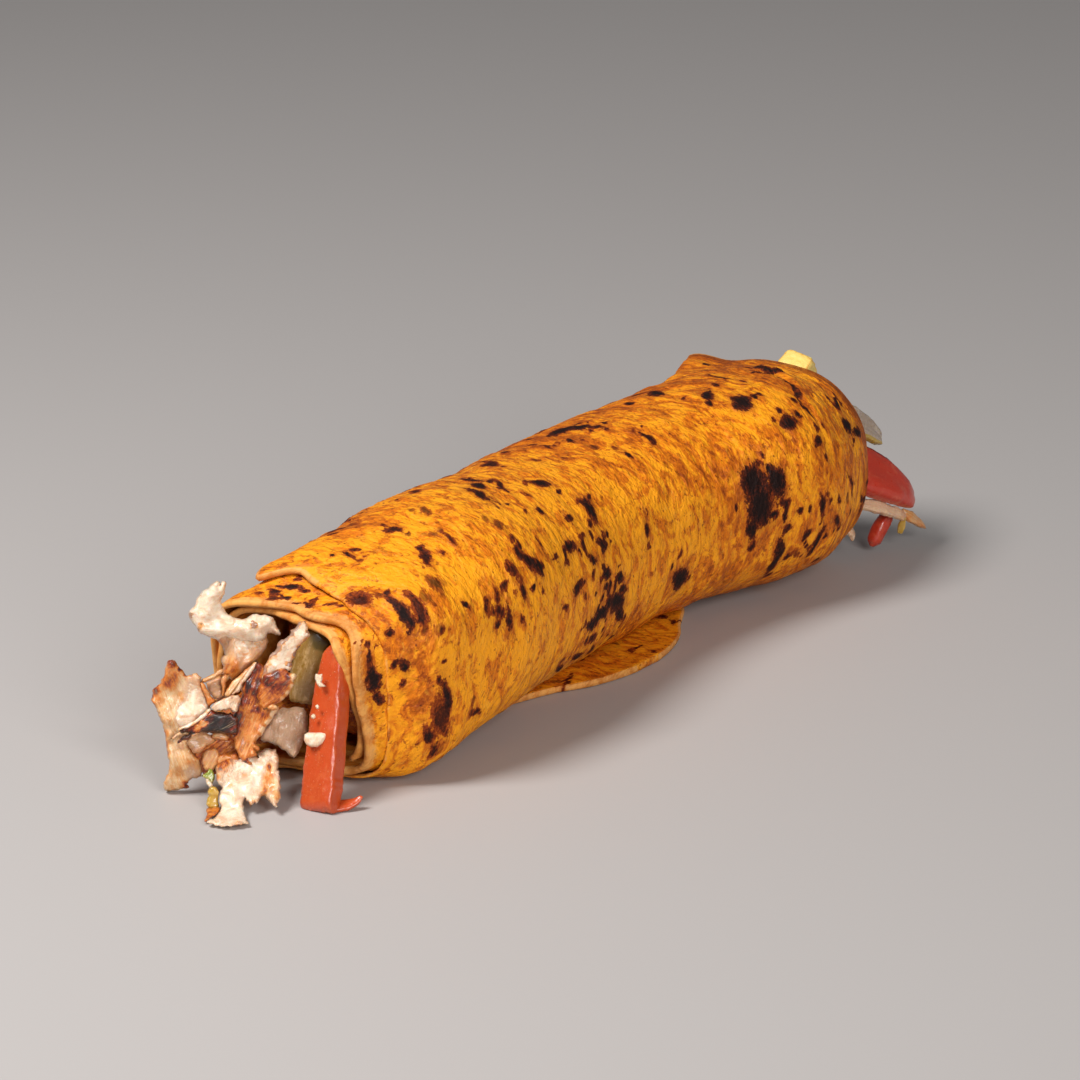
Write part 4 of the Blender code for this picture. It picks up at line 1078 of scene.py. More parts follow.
# The pale side of the rind: name, outline, how browned, how much sauce, depth, thickness.
RIND_SCRAPS = (
    ("pale_rind_a",
     ((-26.2, -12.4), (-25.0, -11.6), (-23.6, -11.1), (-22.2, -10.2), (-20.8, -9.2), (-19.6, -8.3), (-18.6, -7.4),
      (-17.8, -6.8), (-17.8, -7.8), (-18.7, -9.0), (-19.7, -9.9), (-21.0, -10.6), (-22.2, -11.4), (-23.4, -12.0),
      (-24.6, -12.1), (-25.7, -12.7)), (-0.06,), (0.75,), -2.3, 1.3),
    ("pale_rind_b",
     ((-27.9, -14.7), (-26.8, -13.6), (-25.4, -13.1), (-24.0, -12.8), (-22.5, -12.2), (-22.1, -12.9),
      (-23.2, -13.6), (-24.8, -13.9), (-26.2, -14.3), (-27.4, -15.1)), (0.06,), (0.3,), -4.4, 1.2),
    ("pale_rind_c",
     ((-17.6, -6.8), (-16.8, -5.8), (-15.5, -5.0), (-14.0, -4.4), (-12.8, -4.0), (-11.8, -3.7), (-10.7, -3.6),
      (-10.2, -4.5), (-10.5, -5.5), (-10.9, -6.5), (-11.1, -7.8), (-12.2, -8.2), (-12.9, -7.3), (-13.6, -7.4),
      (-14.5, -7.5), (-15.5, -7.7), (-16.4, -8.1), (-17.1, -7.6)),
     (-0.04, (-11.2, -5.6, 1.5, 0.18), (-12.4, -4.3, 0.4, 0.7), (-12.6, -7.4, 0.6, 0.4)), (0.5,), -2.0, 1.7),
    ("pale_rind_d",
     ((-12.6, -3.7), (-11.7, -2.4), (-10.8, -1.0), (-9.9, 0.2), (-8.9, 1.7), (-7.7, 3.2), (-6.7, 4.6),
      (-6.1, 5.0), (-6.2, 3.9), (-7.1, 2.4), (-8.2, 0.9), (-9.2, -0.5), (-10.1, -1.8), (-11.0, -3.1),
      (-11.8, -3.6)), (-0.08, (-11.3, -3.3, 0.6, 0.8)), (0.5,), -1.8, 1.1),
    ("charred_curl",
     ((-4.2, -7.1), (-3.2, -6.4), (-1.8, -6.0), (-0.7, -6.2), (-0.5, -6.9), (-1.0, -7.6), (-2.2, -7.8),
      (-3.0, -7.5)), (0.12, (-1.8, -7.0, 0.6, 0.12)), (0.1,), 0.3, 1.2),
)
# Strands and flakes of meat: name, node, outline, depths, thickness, grain, browned, sauced.
FLAKES = (
    ("shred_a", "chicken_shred_upper",
     ((-20.1, 0.5), (-18.8, 1.0), (-17.2, 1.8), (-15.8, 2.8), (-14.8, 3.0), (-14.5, 2.1), (-15.8, 1.2),
      (-17.4, 0.2), (-19.0, -0.5), (-20.3, -0.6)), -5.4, 1.4, 30, 0.12, 0.2),
    ("shred_b", "chicken_shred_lower",
     ((-14.9, 1.4), (-14.2, 1.6), (-13.4, 1.2), (-13.3, 0.4), (-13.9, -0.4), (-14.1, -1.6), (-14.0, -2.8),
      (-14.2, -4.0), (-14.9, -4.2), (-14.9, -3.0), (-14.8, -1.6), (-15.1, -0.6), (-15.2, 0.6)), -5.8, 1.3, 85, 0.2, 0.15),
    ("shred_c", "chicken_shred_upper",
     ((-14.6, -4.4), (-14.2, -3.0), (-13.2, -1.4), (-12.4, -0.2), (-11.2, 0.6), (-10.2, 1.6), (-9.2, 2.8),
      (-8.0, 3.6), (-7.0, 4.6), (-6.2, 5.4), (-6.0, 4.4), (-7.0, 2.8), (-8.2, 1.2), (-9.4, -0.4), (-10.6, -1.8),
      (-11.6, -3.0), (-12.4, -3.8), (-13.4, -4.4)), -3.6, 1.6, 55, 0.14, 0.15),
    ("shred_d", "chicken_shred_lower",
     ((-20.5, -0.2), (-19.6, -0.8), (-18.9, -1.8), (-18.2, -3.0), (-17.4, -4.2), (-16.6, -4.9), (-15.6, -5.0),
      (-16.6, -5.6), (-17.6, -6.1), (-18.2, -6.8), (-18.8, -5.4), (-19.4, -3.8), (-20.0, -2.2)), -4.6, 1.5, -60, 0.28, 0.0),
    ("shred_e", "chicken_shred_upper",
     ((-19.2, -0.6), (-17.6, 0.2), (-15.6, 1.0), (-14.6, 0.4), (-14.6, -2.0), (-14.2, -4.4), (-15.6, -5.0),
      (-17.2, -4.6), (-18.4, -2.8)), -8.2, 1.8, 20, 0.24, 0.32),
    ("flake_a", "chicken_inner",
     ((-17.8, -13.7), (-16.5, -13.2), (-15.0, -13.2), (-13.8, -13.5), (-13.1, -14.4), (-13.6, -15.1),
      (-14.8, -15.1), (-16.2, -14.9), (-17.3, -14.6)), -5.2, 1.5, 0, 0.20, 0.26),
    ("flake_b", "chicken_inner",
     ((-23.8, -14.8), (-22.5, -13.8), (-20.5, -13.0), (-18.6, -13.4), (-17.2, -14.2), (-16.4, -15.1),
      (-17.4, -15.9), (-18.8, -16.6), (-19.6, -17.6), (-20.8, -18.4), (-22.0, -18.2), (-23.3, -17.2),
      (-23.8, -16.0)), -6.2, 2.0, 10, 0.24, 0.3),
    ("flake_c", "chicken_inner",
     ((-19.8, -18.4), (-18.4, -17.2), (-17.0, -16.8), (-15.9, -17.8), (-15.5, -19.5), (-16.1, -21.5),
      (-17.0, -22.8), (-19.0, -22.9), (-20.0, -21.0)), -7.6, 2.0, 60, 0.26, 0.24),
    ("flake_d", "chicken_inner",
     ((-23.0, -17.4), (-19.8, -16.4), (-17.0, -14.6), (-15.0, -14.4), (-12.6, -14.6), (-10.6, -15.4),
      (-9.8, -18.0), (-10.4, -20.6), (-13.0, -21.6), (-15.5, -22.6), (-17.0, -24.2), (-19.6, -23.8),
      (-21.0, -21.0)), -10.4, 2.4, 40, 0.50, 0.0),
    ("flake_e", "chicken_inner",
     ((-16.2, -19.4), (-14.6, -18.6), (-12.8, -18.8), (-11.2, -18.4), (-10.2, -19.6), (-11.0, -21.0),
      (-13.2, -22.2), (-15.2, -22.6), (-16.4, -21.4)), -7.4, 1.9, 10, 0.34, 0.12),
)
SLICE_GREY = (
    (0.4, -7.0), (1.6, -6.8), (3.2, -6.6), (4.4, -6.7), (5.8, -7.0), (6.6, -8.0), (6.8, -9.5), (7.0, -11.0),
    (6.8, -12.5), (6.4, -14.2), (5.8, -15.6), (5.2, -17.0), (4.6, -18.4), (4.0, -19.2), (3.3, -20.0),
    (2.6, -19.4), (1.4, -18.4), (0.2, -17.4), (-1.0, -16.6), (-2.0, -15.9), (-3.2, -15.7), (-4.4, -15.8),
    (-5.2, -15.0), (-4.8, -13.8), (-4.0, -12.4), (-3.2, -11.2), (-2.4, -9.8), (-1.4, -8.4), (-0.6, -7.6),
)
INNER = (
    (-108.0, 12.4, 17.0, 7.4, 5.6), (-114.0, 13.0, 17.0, 7.6, 5.8), (-124.0, 14.0, 15.6, 7.2, 5.0),
    (-129.0, 13.6, 13.6, 5.0, 3.2), (-132.0, 13.0, 12.6, 2.4, 1.8),
)
FAR_STRIP = (
    (99.2, -19.8, 17.4, 1.7, 1.2), (103.0, -23.5, 17.8, 1.9, 1.4), (109.6, -30.4, 17.2, 1.6, 1.2),
    (113.0, -32.4, 15.9, 2.0, 1.5), (117.0, -33.9, 13.8, 1.7, 1.3), (122.6, -35.4, 10.8, 1.3, 1.0),
)
FAR_SHRED = ((124.0, -34.8, 12.0, 0.8, 0.6), (126.0, -35.0, 10.2, 1.8, 1.1), (129.4, -35.2, 7.8, 1.4, 1.0),
             (132.4, -35.5, 5.6, 0.8, 0.7), (134.4, -35.8, 4.2, 0.3, 0.3))
FAR_SMEAR = ((105.6, -25.4, 11.2, 0.6, 0.5), (106.6, -26.4, 9.7, 1.3, 0.9), (107.2, -27.2, 8.0, 1.2, 0.9),
             (106.9, -27.6, 6.5, 0.5, 0.4))
FAR_CORE = ((99.6, 1.8, 25.8, 9.8, 7.8), (101.8, 1.5, 25.5, 9.2, 7.2), (104.0, 1.0, 25.0, 7.6, 6.0),
            (107.4, 0.4, 24.4, 3.4, 3.0))

cooked = chicken_material()
MEAT_GRAIN = {"Long_size": 8.0, "Side_size": 0.85, "Coarse_height": 0.36, "Fine_size": 0.55,
              "Fine_height": 0.10, "Marks": "fibre", "Material": cooked}


def serve(piece, slot, nodes, seed, **grain):
    """Raise a piece's grain on it and hand it over in the place of the nodes named."""
    run_nodes(piece, relief, **{**MEAT_GRAIN, **grain, "Seed": float(seed)})
    finish_piece(piece, slot, *nodes.split())


serve(filling_core(), "chicken", "chicken_filling", 3, Long_size=5.0, Side_size=4.0, Coarse_height=1.6,
      Fine_size=1.6, Fine_height=0.4)
serve(torn_slice("fan_slice", SLICE_FAN, ((-28.3, -14.6), (-26.5, -13.4), (-24.0, -11.7), (-20.5, -10.2),
                                          (-16.5, -9.1), (-9.0, -7.5), (-2.0, -6.7), (2.0, -5.4), (5.8, -4.0)),
                 3.0, 1.0, grain=-68, wave=0.8, seed=4, browned=FAN_BROWNED, sauced=FAN_SAUCED, crisp=0.12),
      "chicken", "chicken_fan", 4, Coarse_height=0.45)
serve(torn_slice("charred_slice", SLICE_CHARRED, ((-22.2, -4.6), (-12.0, -4.9), (-4.0, -3.3), (6.0, -1.8)),
                 3.2, 1.2, grain=68, wave=0.6, seed=5, browned=CHARRED_BROWNED),
      "browned_chicken", "chicken_charred", 5, Coarse_height=0.45)
serve(torn_slice("charred_rind", SLICE_RIND, ((0.4, -2.0), (8.0, -0.9), (15.2, 0.2)), 2.2, 0.9, grain=52, wave=0.5,
                 seed=6, rag=0.3, browned=RIND_BROWNED, sauced=(0.62,), crisp=0.35),
      "browned_chicken", "chicken_charred", 6)
serve(torn_slice("charred_lobe", SLICE_LOBE, ((-7.4, -0.9), (3.2, 0.4)), 2.0, 1.0, grain=45, wave=0.5, seed=7,
                 rag=0.25, browned=LOBE_BROWNED), "browned_chicken", "chicken_charred", 7)
serve(torn_slice("charred_strip", SLICE_STRIP, ((-16.0, -4.0), (-12.0, -3.3), (-7.0, -2.6)), 2.4, 0.8, grain=28,
                 wave=0.5, seed=8, rag=0.3, browned=STRIP_BROWNED),
      "browned_chicken", "chicken_charred_strip", 8, Coarse_height=0.4)
for order, (name, corners, browned, sauced, depth, thick) in enumerate(RIND_SCRAPS):
    scrap = torn_slice(name, corners, ((-20.0, depth), (20.0, depth)), thick, 0.5, grain=45, wave=0.25, rag=0.22,
                       seed=90 + order, browned=browned, sauced=sauced, crisp=0.25, spacing=0.3)
    serve(scrap, "chicken", "", 90 + order, Coarse_height=0.2)
for order, (name, node, corners, depth, thick, grain, browned, sauced) in enumerate(FLAKES):
    flake = torn_slice(name, corners, ((-30.0, depth), (10.0, depth)), thick, 0.8, grain=grain, wave=0.5, rag=0.2,
                       seed=20 + order, browned=(browned,), sauced=(sauced,), crisp=0.12)
    serve(flake, "chicken", node, 20 + order, Coarse_height=0.3)
serve(torn_piece("inner_chicken", INNER, UP_FACE, 90, 64, squareness=2.0, wave=1.0, seed=9,
                 browned=(0.5,), sauced=(0.0,)), "chicken", "chicken_inner", 9, Coarse_height=0.9)
serve(torn_slice("grey_chicken", SLICE_GREY, ((-20.0, -10.4), (-7.0, -10.4)), 3.4, 1.4, grain=80, wave=0.9, seed=10,
                 browned=(0.05, (5.6, -14.0, 1.6, 0.3), (-3.6, -13.0, 1.4, -0.1)), sauced=(0.42,)),
      "chicken", "chicken_grey", 10, Long_size=4.0, Side_size=1.8, Coarse_height=0.5)
serve(torn_piece("far_cream_strip", FAR_STRIP, FAR_FACE, 110, 44, fray=0.6, ragged=0.22, wave=0.5, seed=11,
                 browned=(0.05, (122.0, -35.0, 11.0, 3.0, 0.25)), sauced=(0.4,)),
      "sauced_chicken", "chicken_strip_far", 11)
serve(torn_piece("far_shred", FAR_SHRED, FAR_FACE, 70, 40, fray=0.8, ragged=0.22, wave=0.5, seed=12,
                 browned=(0.28,), sauced=(0.1,)), "chicken", "chicken_shred_far", 12)
serve(torn_piece("far_sauce_smear", FAR_SMEAR, FAR_FACE, 50, 40, fray=0.3, ragged=0.2, wave=0.4, seed=14,
                 browned=(0.2,), sauced=(0.5,)), "sauced_chicken", "", 14)
serve(torn_piece("far_inner_chicken", FAR_CORE, UP_FACE, 60, 60, squareness=2.0, wave=0.9, seed=13,
                 browned=(0.5,)), "chicken", "chicken_inner_far", 13, Coarse_height=0.9)

# ---------------------------------------------------------------------------------------------
# The sauced chicken and the garlic yoghurt sauce: soft lumps of meat under a thick, glossy cream
# sauce stained with orange oil, torn where the meat shows, with drops fallen on the tomato and a
# torn orange corner on the lowest piece.
SLICE_TOP = (
    (-17.8, 24.4), (-17.2, 25.0), (-16.4, 25.3), (-15.6, 25.0), (-15.3, 24.2), (-14.9, 25.3), (-14.1, 25.1),
    (-14.1, 24.0), (-14.3, 22.6), (-14.8, 21.4), (-15.1, 20.4), (-15.0, 19.4), (-14.4, 18.4), (-13.8, 17.3),
    (-12.6, 16.5), (-11.4, 16.0), (-10.0, 15.9), (-8.6, 16.0), (-7.6, 16.5), (-6.6, 17.0), (-5.2, 16.9),
    (-3.6, 16.6), (-2.2, 15.9), (-1.6, 15.0), (-1.0, 14.0), (-0.2, 13.0), (0.1, 12.2), (-0.1, 11.5),
    (-1.2, 11.9), (-2.4, 12.2), (-3.2, 11.8), (-3.6, 11.0), (-4.6, 10.2), (-6.2, 9.6), (-8.0, 9.8),
    (-10.0, 9.6), (-12.0, 10.2), (-13.6, 10.9), (-15.2, 10.2), (-16.4, 10.4), (-17.8, 10.9), (-19.2, 11.3),
    (-20.3, 11.7), (-21.3, 13.0), (-22.3, 14.4), (-23.1, 15.6), (-23.3, 17.0), (-23.0, 18.0), (-22.3, 18.6),
    (-21.5, 19.8), (-20.9, 21.2), (-20.3, 22.4), (-19.3, 23.2), (-18.3, 23.6),
)
TOP_BROWNED = (
    0.0, (-22.9, 16.6, 1.0, 0.5), (-21.0, 17.0, 0.8, 0.3), (-20.4, 14.0, 1.1, 0.5), (-6.8, 14.2, 1.2, 0.75),
    (-9.6, 14.2, 0.9, 0.25), (-16.6, 23.8, 0.8, 0.25), (-18.8, 16.0, 1.2, 0.15), (-8.0, 12.6, 1.0, 0.2),
    (-21.2, 12.6, 0.9, 0.4), (-12.6, 10.6, 1.2, 0.25),
)
SLICE_MIDDLE = (
    (-16.8, 11.4), (-13.0, 13.0), (-8.0, 13.0), (-4.0, 12.0), (-3.0, 9.8), (-3.8, 8.2), (-4.8, 6.8), (-6.2, 5.2),
    (-7.8, 3.8), (-9.4, 2.4), (-10.8, 1.2), (-12.4, 0.2), (-13.6, 0.7), (-14.7, 1.6), (-14.6, 2.6), (-14.4, 3.6),
    (-14.9, 4.6), (-15.0, 5.6), (-14.2, 6.6), (-14.2, 7.6), (-14.8, 8.6), (-15.5, 9.4), (-16.2, 10.2),
)
SLICE_LOW = (
    (-16.3, -21.8), (-15.0, -20.4), (-13.5, -19.6), (-11.0, -19.8), (-9.0, -19.0), (-6.6, -18.6), (-5.0, -17.8),
    (-3.0, -17.3), (-1.2, -17.6), (-0.6, -19.0), (-0.7, -21.5), (-0.5, -23.5), (-0.1, -25.5), (0.1, -27.2),
    (-0.3, -27.8), (0.0, -28.8), (-0.2, -30.0), (-1.0, -31.2), (-0.5, -32.3), (-1.4, -32.3), (-2.4, -31.2),
    (-3.2, -30.2), (-4.2, -29.2), (-4.8, -29.4), (-5.2, -30.2), (-6.1, -31.1), (-6.6, -30.8), (-7.6, -31.9),
    (-8.2, -30.9), (-9.0, -30.0), (-9.5, -31.0), (-9.4, -32.5), (-9.0, -34.0), (-8.4, -35.2), (-7.8, -36.0),
    (-10.5, -36.4), (-12.5, -36.7), (-14.8, -36.6), (-17.5, -36.1), (-19.0, -35.7), (-18.0, -34.8),
    (-17.0, -34.9), (-16.3, -34.2), (-15.6, -33.0), (-15.2, -31.8), (-15.8, -30.5), (-15.9, -29.4),
    (-15.4, -28.2), (-15.0, -27.2), (-15.9, -26.4), (-16.4, -25.0), (-16.7, -23.5),
)
LOW_BROWNED = (
    0.0, (-14.4, -20.8, 2.2, 0.55), (-11.8, -20.6, 1.2, 0.4), (-13.6, -23.0, 0.7, 0.5), (-13.4, -24.4, 0.8, 0.35),
    (-16.2, -24.6, 1.0, 0.4), (-15.6, -22.6, 0.8, 0.6), (-2.9, -22.0, 0.9, 0.7), (-3.1, -24.4, 1.6, 0.34),
    (-3.0, -26.6, 1.9, 0.3), (-4.6, -28.4, 1.2, 0.3), (-1.0, -23.4, 0.9, 0.2), (-1.4, -29.0, 1.6, 0.2),
    (-12.2, -26.7, 1.0, 0.35), (-7.2, -30.6, 0.9, 0.4), (-5.6, -29.6, 0.8, 0.2), (-10.4, -36.0, 0.9, 0.3),
    (-0.6, -19.6, 0.9, 0.4), (-9.2, -24.0, 0.8, 0.18),
)
LOW_SAUCED = (
    0.52, (-12.6, -29.4, 4.0, 0.5), (-12.6, -34.0, 3.0, 0.4), (-7.2, -24.4, 3.2, 0.2), (-14.4, -20.8, 2.2, -0.5),
    (-3.0, -25.4, 2.4, -0.5), (-2.6, -22.0, 1.4, -0.5), (-1.2, -29.0, 1.8, -0.4), (-4.4, -28.6, 1.4, -0.3),
    (-16.0, -24.4, 1.0, -0.35), (-1.2, -31.6, 1.0, -0.1),
)
FLOOR_TONGUE = ((-36.7, 10.2), (-34.5, 5.3), (-33.0, 2.3), (-31.0, 0.7), (-28.0, -1.6), (-25.0, -3.7),
                (-21.0, -6.4), (-17.0, -8.9))
# Scraps round the lowest piece: name, slot, outline, depths, thickness, browned, sauced.
LOW_SCRAPS = (
    ("brown_foot", "chicken",
     ((-18.7, -32.4), (-17.2, -32.2), (-15.5, -32.2), (-15.9, -33.4), (-16.6, -34.3), (-17.4, -34.2),
      (-18.2, -34.9), (-19.0, -35.5), (-18.6, -34.0)), ((-35.5, 6.2), (-32.2, -1.4)), 1.4, (0.5,), (0.1,)),
    ("sauce_scrap", "sauced_chicken",
     ((-19.2, -24.9), (-18.4, -25.0), (-17.6, -25.8), (-17.2, -26.6), (-17.9, -27.1), (-18.7, -26.4)),
     ((-27.1, -3.6), (-24.9, -4.2)), 1.0, (0.05,), (0.6,)),
)
DROPS = (
    ("sauce_drop_1", ((5.9, -13.6), (6.8, -13.1), (9.0, -13.1), (11.4, -13.1), (11.8, -13.6), (11.6, -14.8),
                      (10.6, -16.0), (9.2, -16.8), (7.6, -16.8), (6.4, -16.2), (5.8, -15.0)), 0.6, 2.4),
    ("sauce_drop_2", ((8.7, 1.9), (9.6, 1.5), (10.5, 1.7), (10.6, 0.5), (10.2, -0.4), (11.5, -1.5), (9.8, -1.7),
                      (9.1, -0.8), (8.6, 0.4)), 1.4, 1.2),
    ("sauce_drop_3", ((8.7, -6.3), (9.3, -6.0), (9.8, -6.5), (9.6, -7.1), (9.0, -7.2)), 1.0, 1.0),
    ("sauce_drop_4", ((7.6, -8.8), (8.2, -8.3), (8.8, -8.7), (8.8, -9.4), (8.2, -9.8), (7.7, -9.5)), 1.0, 1.1),
)

SAUCE_GRAIN = {"Long_size": 3.4, "Side_size": 2.8, "Coarse_height": 0.55, "Fine_size": 1.3, "Fine_height": 0.05}
serve(torn_slice("sauced_top", SLICE_TOP, ((9.6, -6.4), (14.0, -5.3), (20.0, -5.0), (25.3, -4.4)), 6.4, 2.6,
                 wave=0.8, seed=31, browned=TOP_BROWNED, sauced=(0.85,)),
      "sauced_chicken", "chicken_saucy_top", 31, **SAUCE_GRAIN)
serve(torn_slice("sauced_middle", SLICE_MIDDLE, ((0.2, -7.6), (12.0, -7.4)), 5.6, 2.8, grain=60, wave=1.0, seed=32,
                 browned=(0.24, (-12.6, 2.8, 2.4, 0.18), (-15.4, 9.6, 1.4, 0.15), (-8.0, 3.6, 1.6, 0.16)),
                 sauced=(0.3, (-9.6, 8.6, 2.8, 0.4), (-5.6, 9.4, 1.8, 0.3), (-12.6, 2.6, 2.4, -0.3))),
      "sauced_chicken", "chicken_saucy_middle", 32, **SAUCE_GRAIN)
serve(torn_slice("sauced_low", SLICE_LOW, FLOOR_TONGUE, 3.2, 1.4, grain=-80, wave=1.3, seed=33, rag=0.25,
                 browned=LOW_BROWNED, sauced=LOW_SAUCED, crisp=0.1),
      "sauced_chicken", "chicken_saucy_low chicken_saucy_low_tip", 33, **SAUCE_GRAIN)
for order, (name, slot, corners, depths, thick, browned, sauced) in enumerate(LOW_SCRAPS):
    scrap = torn_slice(name, corners, depths, thick, 0.6, wave=0.3, rag=0.3, seed=36 + order, browned=browned,
                       sauced=sauced, spacing=0.3)
    serve(scrap, slot, "", 36 + order, Coarse_height=0.2)
for order, (name, corners, depth, thick) in enumerate(DROPS):
    drop = torn_slice(name, corners, ((-40.0, depth), (40.0, depth)), thick, thick * 0.5, wave=0.1, rag=0.06,
                      seed=40 + order, browned=(-0.2,), sauced=(1.4,), spacing=0.25)
    serve(drop, "sauced_chicken", "", 40 + order, Coarse_height=0.1, Fine_height=0.02)

# ---------------------------------------------------------------------------------------------
# The tomato: raw strips cut with a knife, wet orange-red flesh on the cut sides and a smooth
# darker skin outside, one curled sliver of skin, and small wet beads on the cut face.
TOMATO_FACE = (-0.96, 0.04, 0.27)
TOMATO_STRIP = (
    (-117.6, -9.8, 39.4, 1.6, 1.6), (-118.2, -10.0, 37.4, 2.9, 2.4), (-119.4, -10.2, 33.8, 3.6, 2.9),
    (-121.0, -10.3, 27.5, 4.2, 3.2), (-124.0, -11.4, 20.0, 4.6, 3.3), (-127.5, -12.6, 11.5, 4.9, 3.3),
    (-131.2, -14.0, 3.0, 5.1, 3.2), (-132.6, -14.6, -0.6, 5.1, 3.0),
)
TAIL = ((-131.6, -16.2, 1.3, 1.7, 0.8), (-130.0, -18.4, 1.2, 1.9, 0.8), (-128.4, -20.2, 1.5, 1.6, 0.7),
        (-126.8, -21.9, 2.3, 1.1, 0.6), (-125.6, -22.8, 3.6, 0.4, 0.3))
FAR_WEDGE = (
    (99.4, -19.0, 28.6, 8.0, 3.2), (103.0, -21.9, 29.3, 8.2, 3.4), (108.0, -26.4, 28.2, 8.0, 3.7),
    (115.0, -31.6, 23.8, 6.8, 3.4), (122.0, -34.6, 18.6, 4.6, 2.6), (127.0, -35.6, 14.6, 2.6, 1.2),
)
FAR_BIT = ((122.6, -31.0, 11.2, 1.6, 1.3), (121.4, -30.4, 10.0, 2.0, 1.8), (119.6, -29.6, 7.8, 2.3, 2.1),
           (118.2, -28.9, 5.6, 2.3, 2.1), (117.2, -28.5, 3.6, 2.0, 1.8), (116.6, -28.3, 2.4, 1.0, 1.0))


def tomato_material(name, flesh, pale, skin):
    paint = Paint(name, Subsurface_Weight=0.18, Subsurface_Scale=0.002, Subsurface_Radius=(1.0, 0.25, 0.12),
                  Coat_Weight=0.3, Coat_Roughness=0.22)
    fibre = paint.mark_vector("fibre")
    place = paint.place()
    streaks = paint.noise(fibre, (6.0, 1.2, 1.6), detail=3, rough=0.6, bend=0.5)
    grain = paint.noise(place, 0.9, detail=3, rough=0.65)
    clouds = paint.noise(place, 4.0, detail=2)
    # Pale streaks and specks: partly the paler pulp, partly painted glints of the wet cut face.
    colour = paint.mix(flesh, pale, (streaks * 0.7 + grain * 0.5).over(0.62, 0.86) * 0.5)
    colour = paint.mix(colour, skin, paint.mark("browned").over(0.35, 0.65))
    colour = paint.mix(colour, pale, clouds.over(0.58, 0.75) * 0.3)
    paint.feed("Base Color", colour)
    paint.feed("Roughness", 0.2 + grain * 0.22)
    paint.feed("Normal", paint.bump(grain * 0.8 + streaks * 0.5, 0.5, 0.14))
    return paint.material


def scatter_tree():
    """Node group that lays small round beads on a piece where one of its marks is high."""
    tree = bpy.data.node_groups.new("scattered_beads", "GeometryNodeTree")
    face = tree.interface
    face.new_socket("Geometry", in_out="INPUT", socket_type="NodeSocketGeometry")
    for name, default in (("Beads per cm2", 60.0), ("Smallest mm", 0.1), ("Largest mm", 0.3),
                          ("Flatness", 0.5), ("Where above", 0.5)):
        face.new_socket(name, in_out="INPUT", socket_type="NodeSocketFloat").default_value = default
    face.new_socket("Seed", in_out="INPUT", socket_type="NodeSocketInt").default_value = 1
    face.new_socket("Where", in_out="INPUT", socket_type="NodeSocketString").default_value = "front"
    face.new_socket("Material", in_out="INPUT", socket_type="NodeSocketMaterial")
    face.new_socket("Geometry", in_out="OUTPUT", socket_type="NodeSocketGeometry")
    nodes = Nodes(tree)
    start = tree.nodes.new("NodeGroupInput")
    given = {socket.name: Value(nodes, socket) for socket in start.outputs if socket.name}
    where = nodes.node("GeometryNodeInputNamedAttribute", {"data_type": "FLOAT"}, {"Name": given["Where"]})
    chosen = nodes.node("FunctionNodeCompare", {"data_type": "FLOAT", "operation": "GREATER_THAN"},
                        {0: where, 1: given["Where above"]})
    spread = tree.nodes.new("GeometryNodeDistributePointsOnFaces")
    for key, value in (("Mesh", given["Geometry"]), ("Selection", chosen), ("Seed", given["Seed"]),
                       ("Density", given["Beads per cm2"] * 10000.0)):
        tree.links.new(value.socket, spread.inputs[key])
    points = Value(nodes, spread.outputs["Points"])
    turn = Value(nodes, spread.outputs["Rotation"])
    bead = nodes.node("GeometryNodeMeshIcoSphere", inputs={"Radius": MM, "Subdivisions": 2})
    chance = nodes.node("FunctionNodeRandomValue", {"data_type": "FLOAT"}, {
        2: 0.0, 3: 1.0, "Seed": given["Seed"]}, output=1)
    size = given["Smallest mm"] + (given["Largest mm"] - given["Smallest mm"]) * chance ** 3.0
    scale = nodes.node("ShaderNodeCombineXYZ", inputs={"X": size, "Y": size, "Z": size * given["Flatness"]})
    laid = nodes.node("GeometryNodeInstanceOnPoints", inputs={
        "Points": points, "Instance": bead, "Rotation": turn, "Scale": scale})
    real = nodes.node("GeometryNodeRealizeInstances", inputs={"Geometry": laid})
    smooth = nodes.node("GeometryNodeSetShadeSmooth", inputs={"Geometry": real})
    done = nodes.node("GeometryNodeSetMaterial", inputs={"Geometry": smooth, "Material": given["Material"]})
    finish = tree.nodes.new("NodeGroupOutput")
    tree.links.new(done.socket, finish.inputs["Geometry"])
    return tree


def scatter(base, name, slot, tree, **inputs):
    """Beads on a piece, kept as a piece of their own."""
    thing = bpy.data.objects.new(name, base.data)
    bpy.context.scene.collection.objects.link(thing)
    run_nodes(thing, tree, **inputs)
    finish_piece(thing, slot)


ripe = tomato_material("ripe_tomato", (0.54, 0.066, 0.010), (0.66, 0.16, 0.04), (0.30, 0.026, 0.006))
deep = tomato_material("deep_tomato", (0.54, 0.040, 0.016), (0.70, 0.17, 0.08), (0.27, 0.007, 0.004))
FLESH = {"Long_size": 5.0, "Side_size": 1.6, "Coarse_height": 0.22, "Fine_size": 0.7, "Fine_height": 0.07}
strip = torn_piece("tomato_cut_strip", TOMATO_STRIP, TOMATO_FACE, 130, 80, squareness=4.2, fray=0.25, ragged=0.04,
                   wave=0.35, seed=51, browned=(0.0,))
serve(strip, "tomato", "tomato_strip", 51, Material=ripe, **FLESH)
serve(torn_piece("tomato_tail", TAIL, UP_FACE, 70, 32, fray=0.4, ragged=0.12, wave=0.2, seed=52),
      "tomato", "", 52, Material=ripe, **FLESH)
wedge = torn_piece("far_tomato_wedge", FAR_WEDGE, FAR_FACE, 110, 72, squareness=3.2, fray=0.3, ragged=0.03,
                   wave=0.3, skin=1.0, seed=53)
serve(wedge, "tomato", "tomato_wedge_far", 53, Material=deep, **FLESH)
serve(torn_piece("far_tomato_bit", FAR_BIT, FAR_FACE, 70, 48, fray=0.3, ragged=0.06, wave=0.3, seed=54),
      "tomato", "tomato_bit_far", 54, Material=deep, **FLESH)
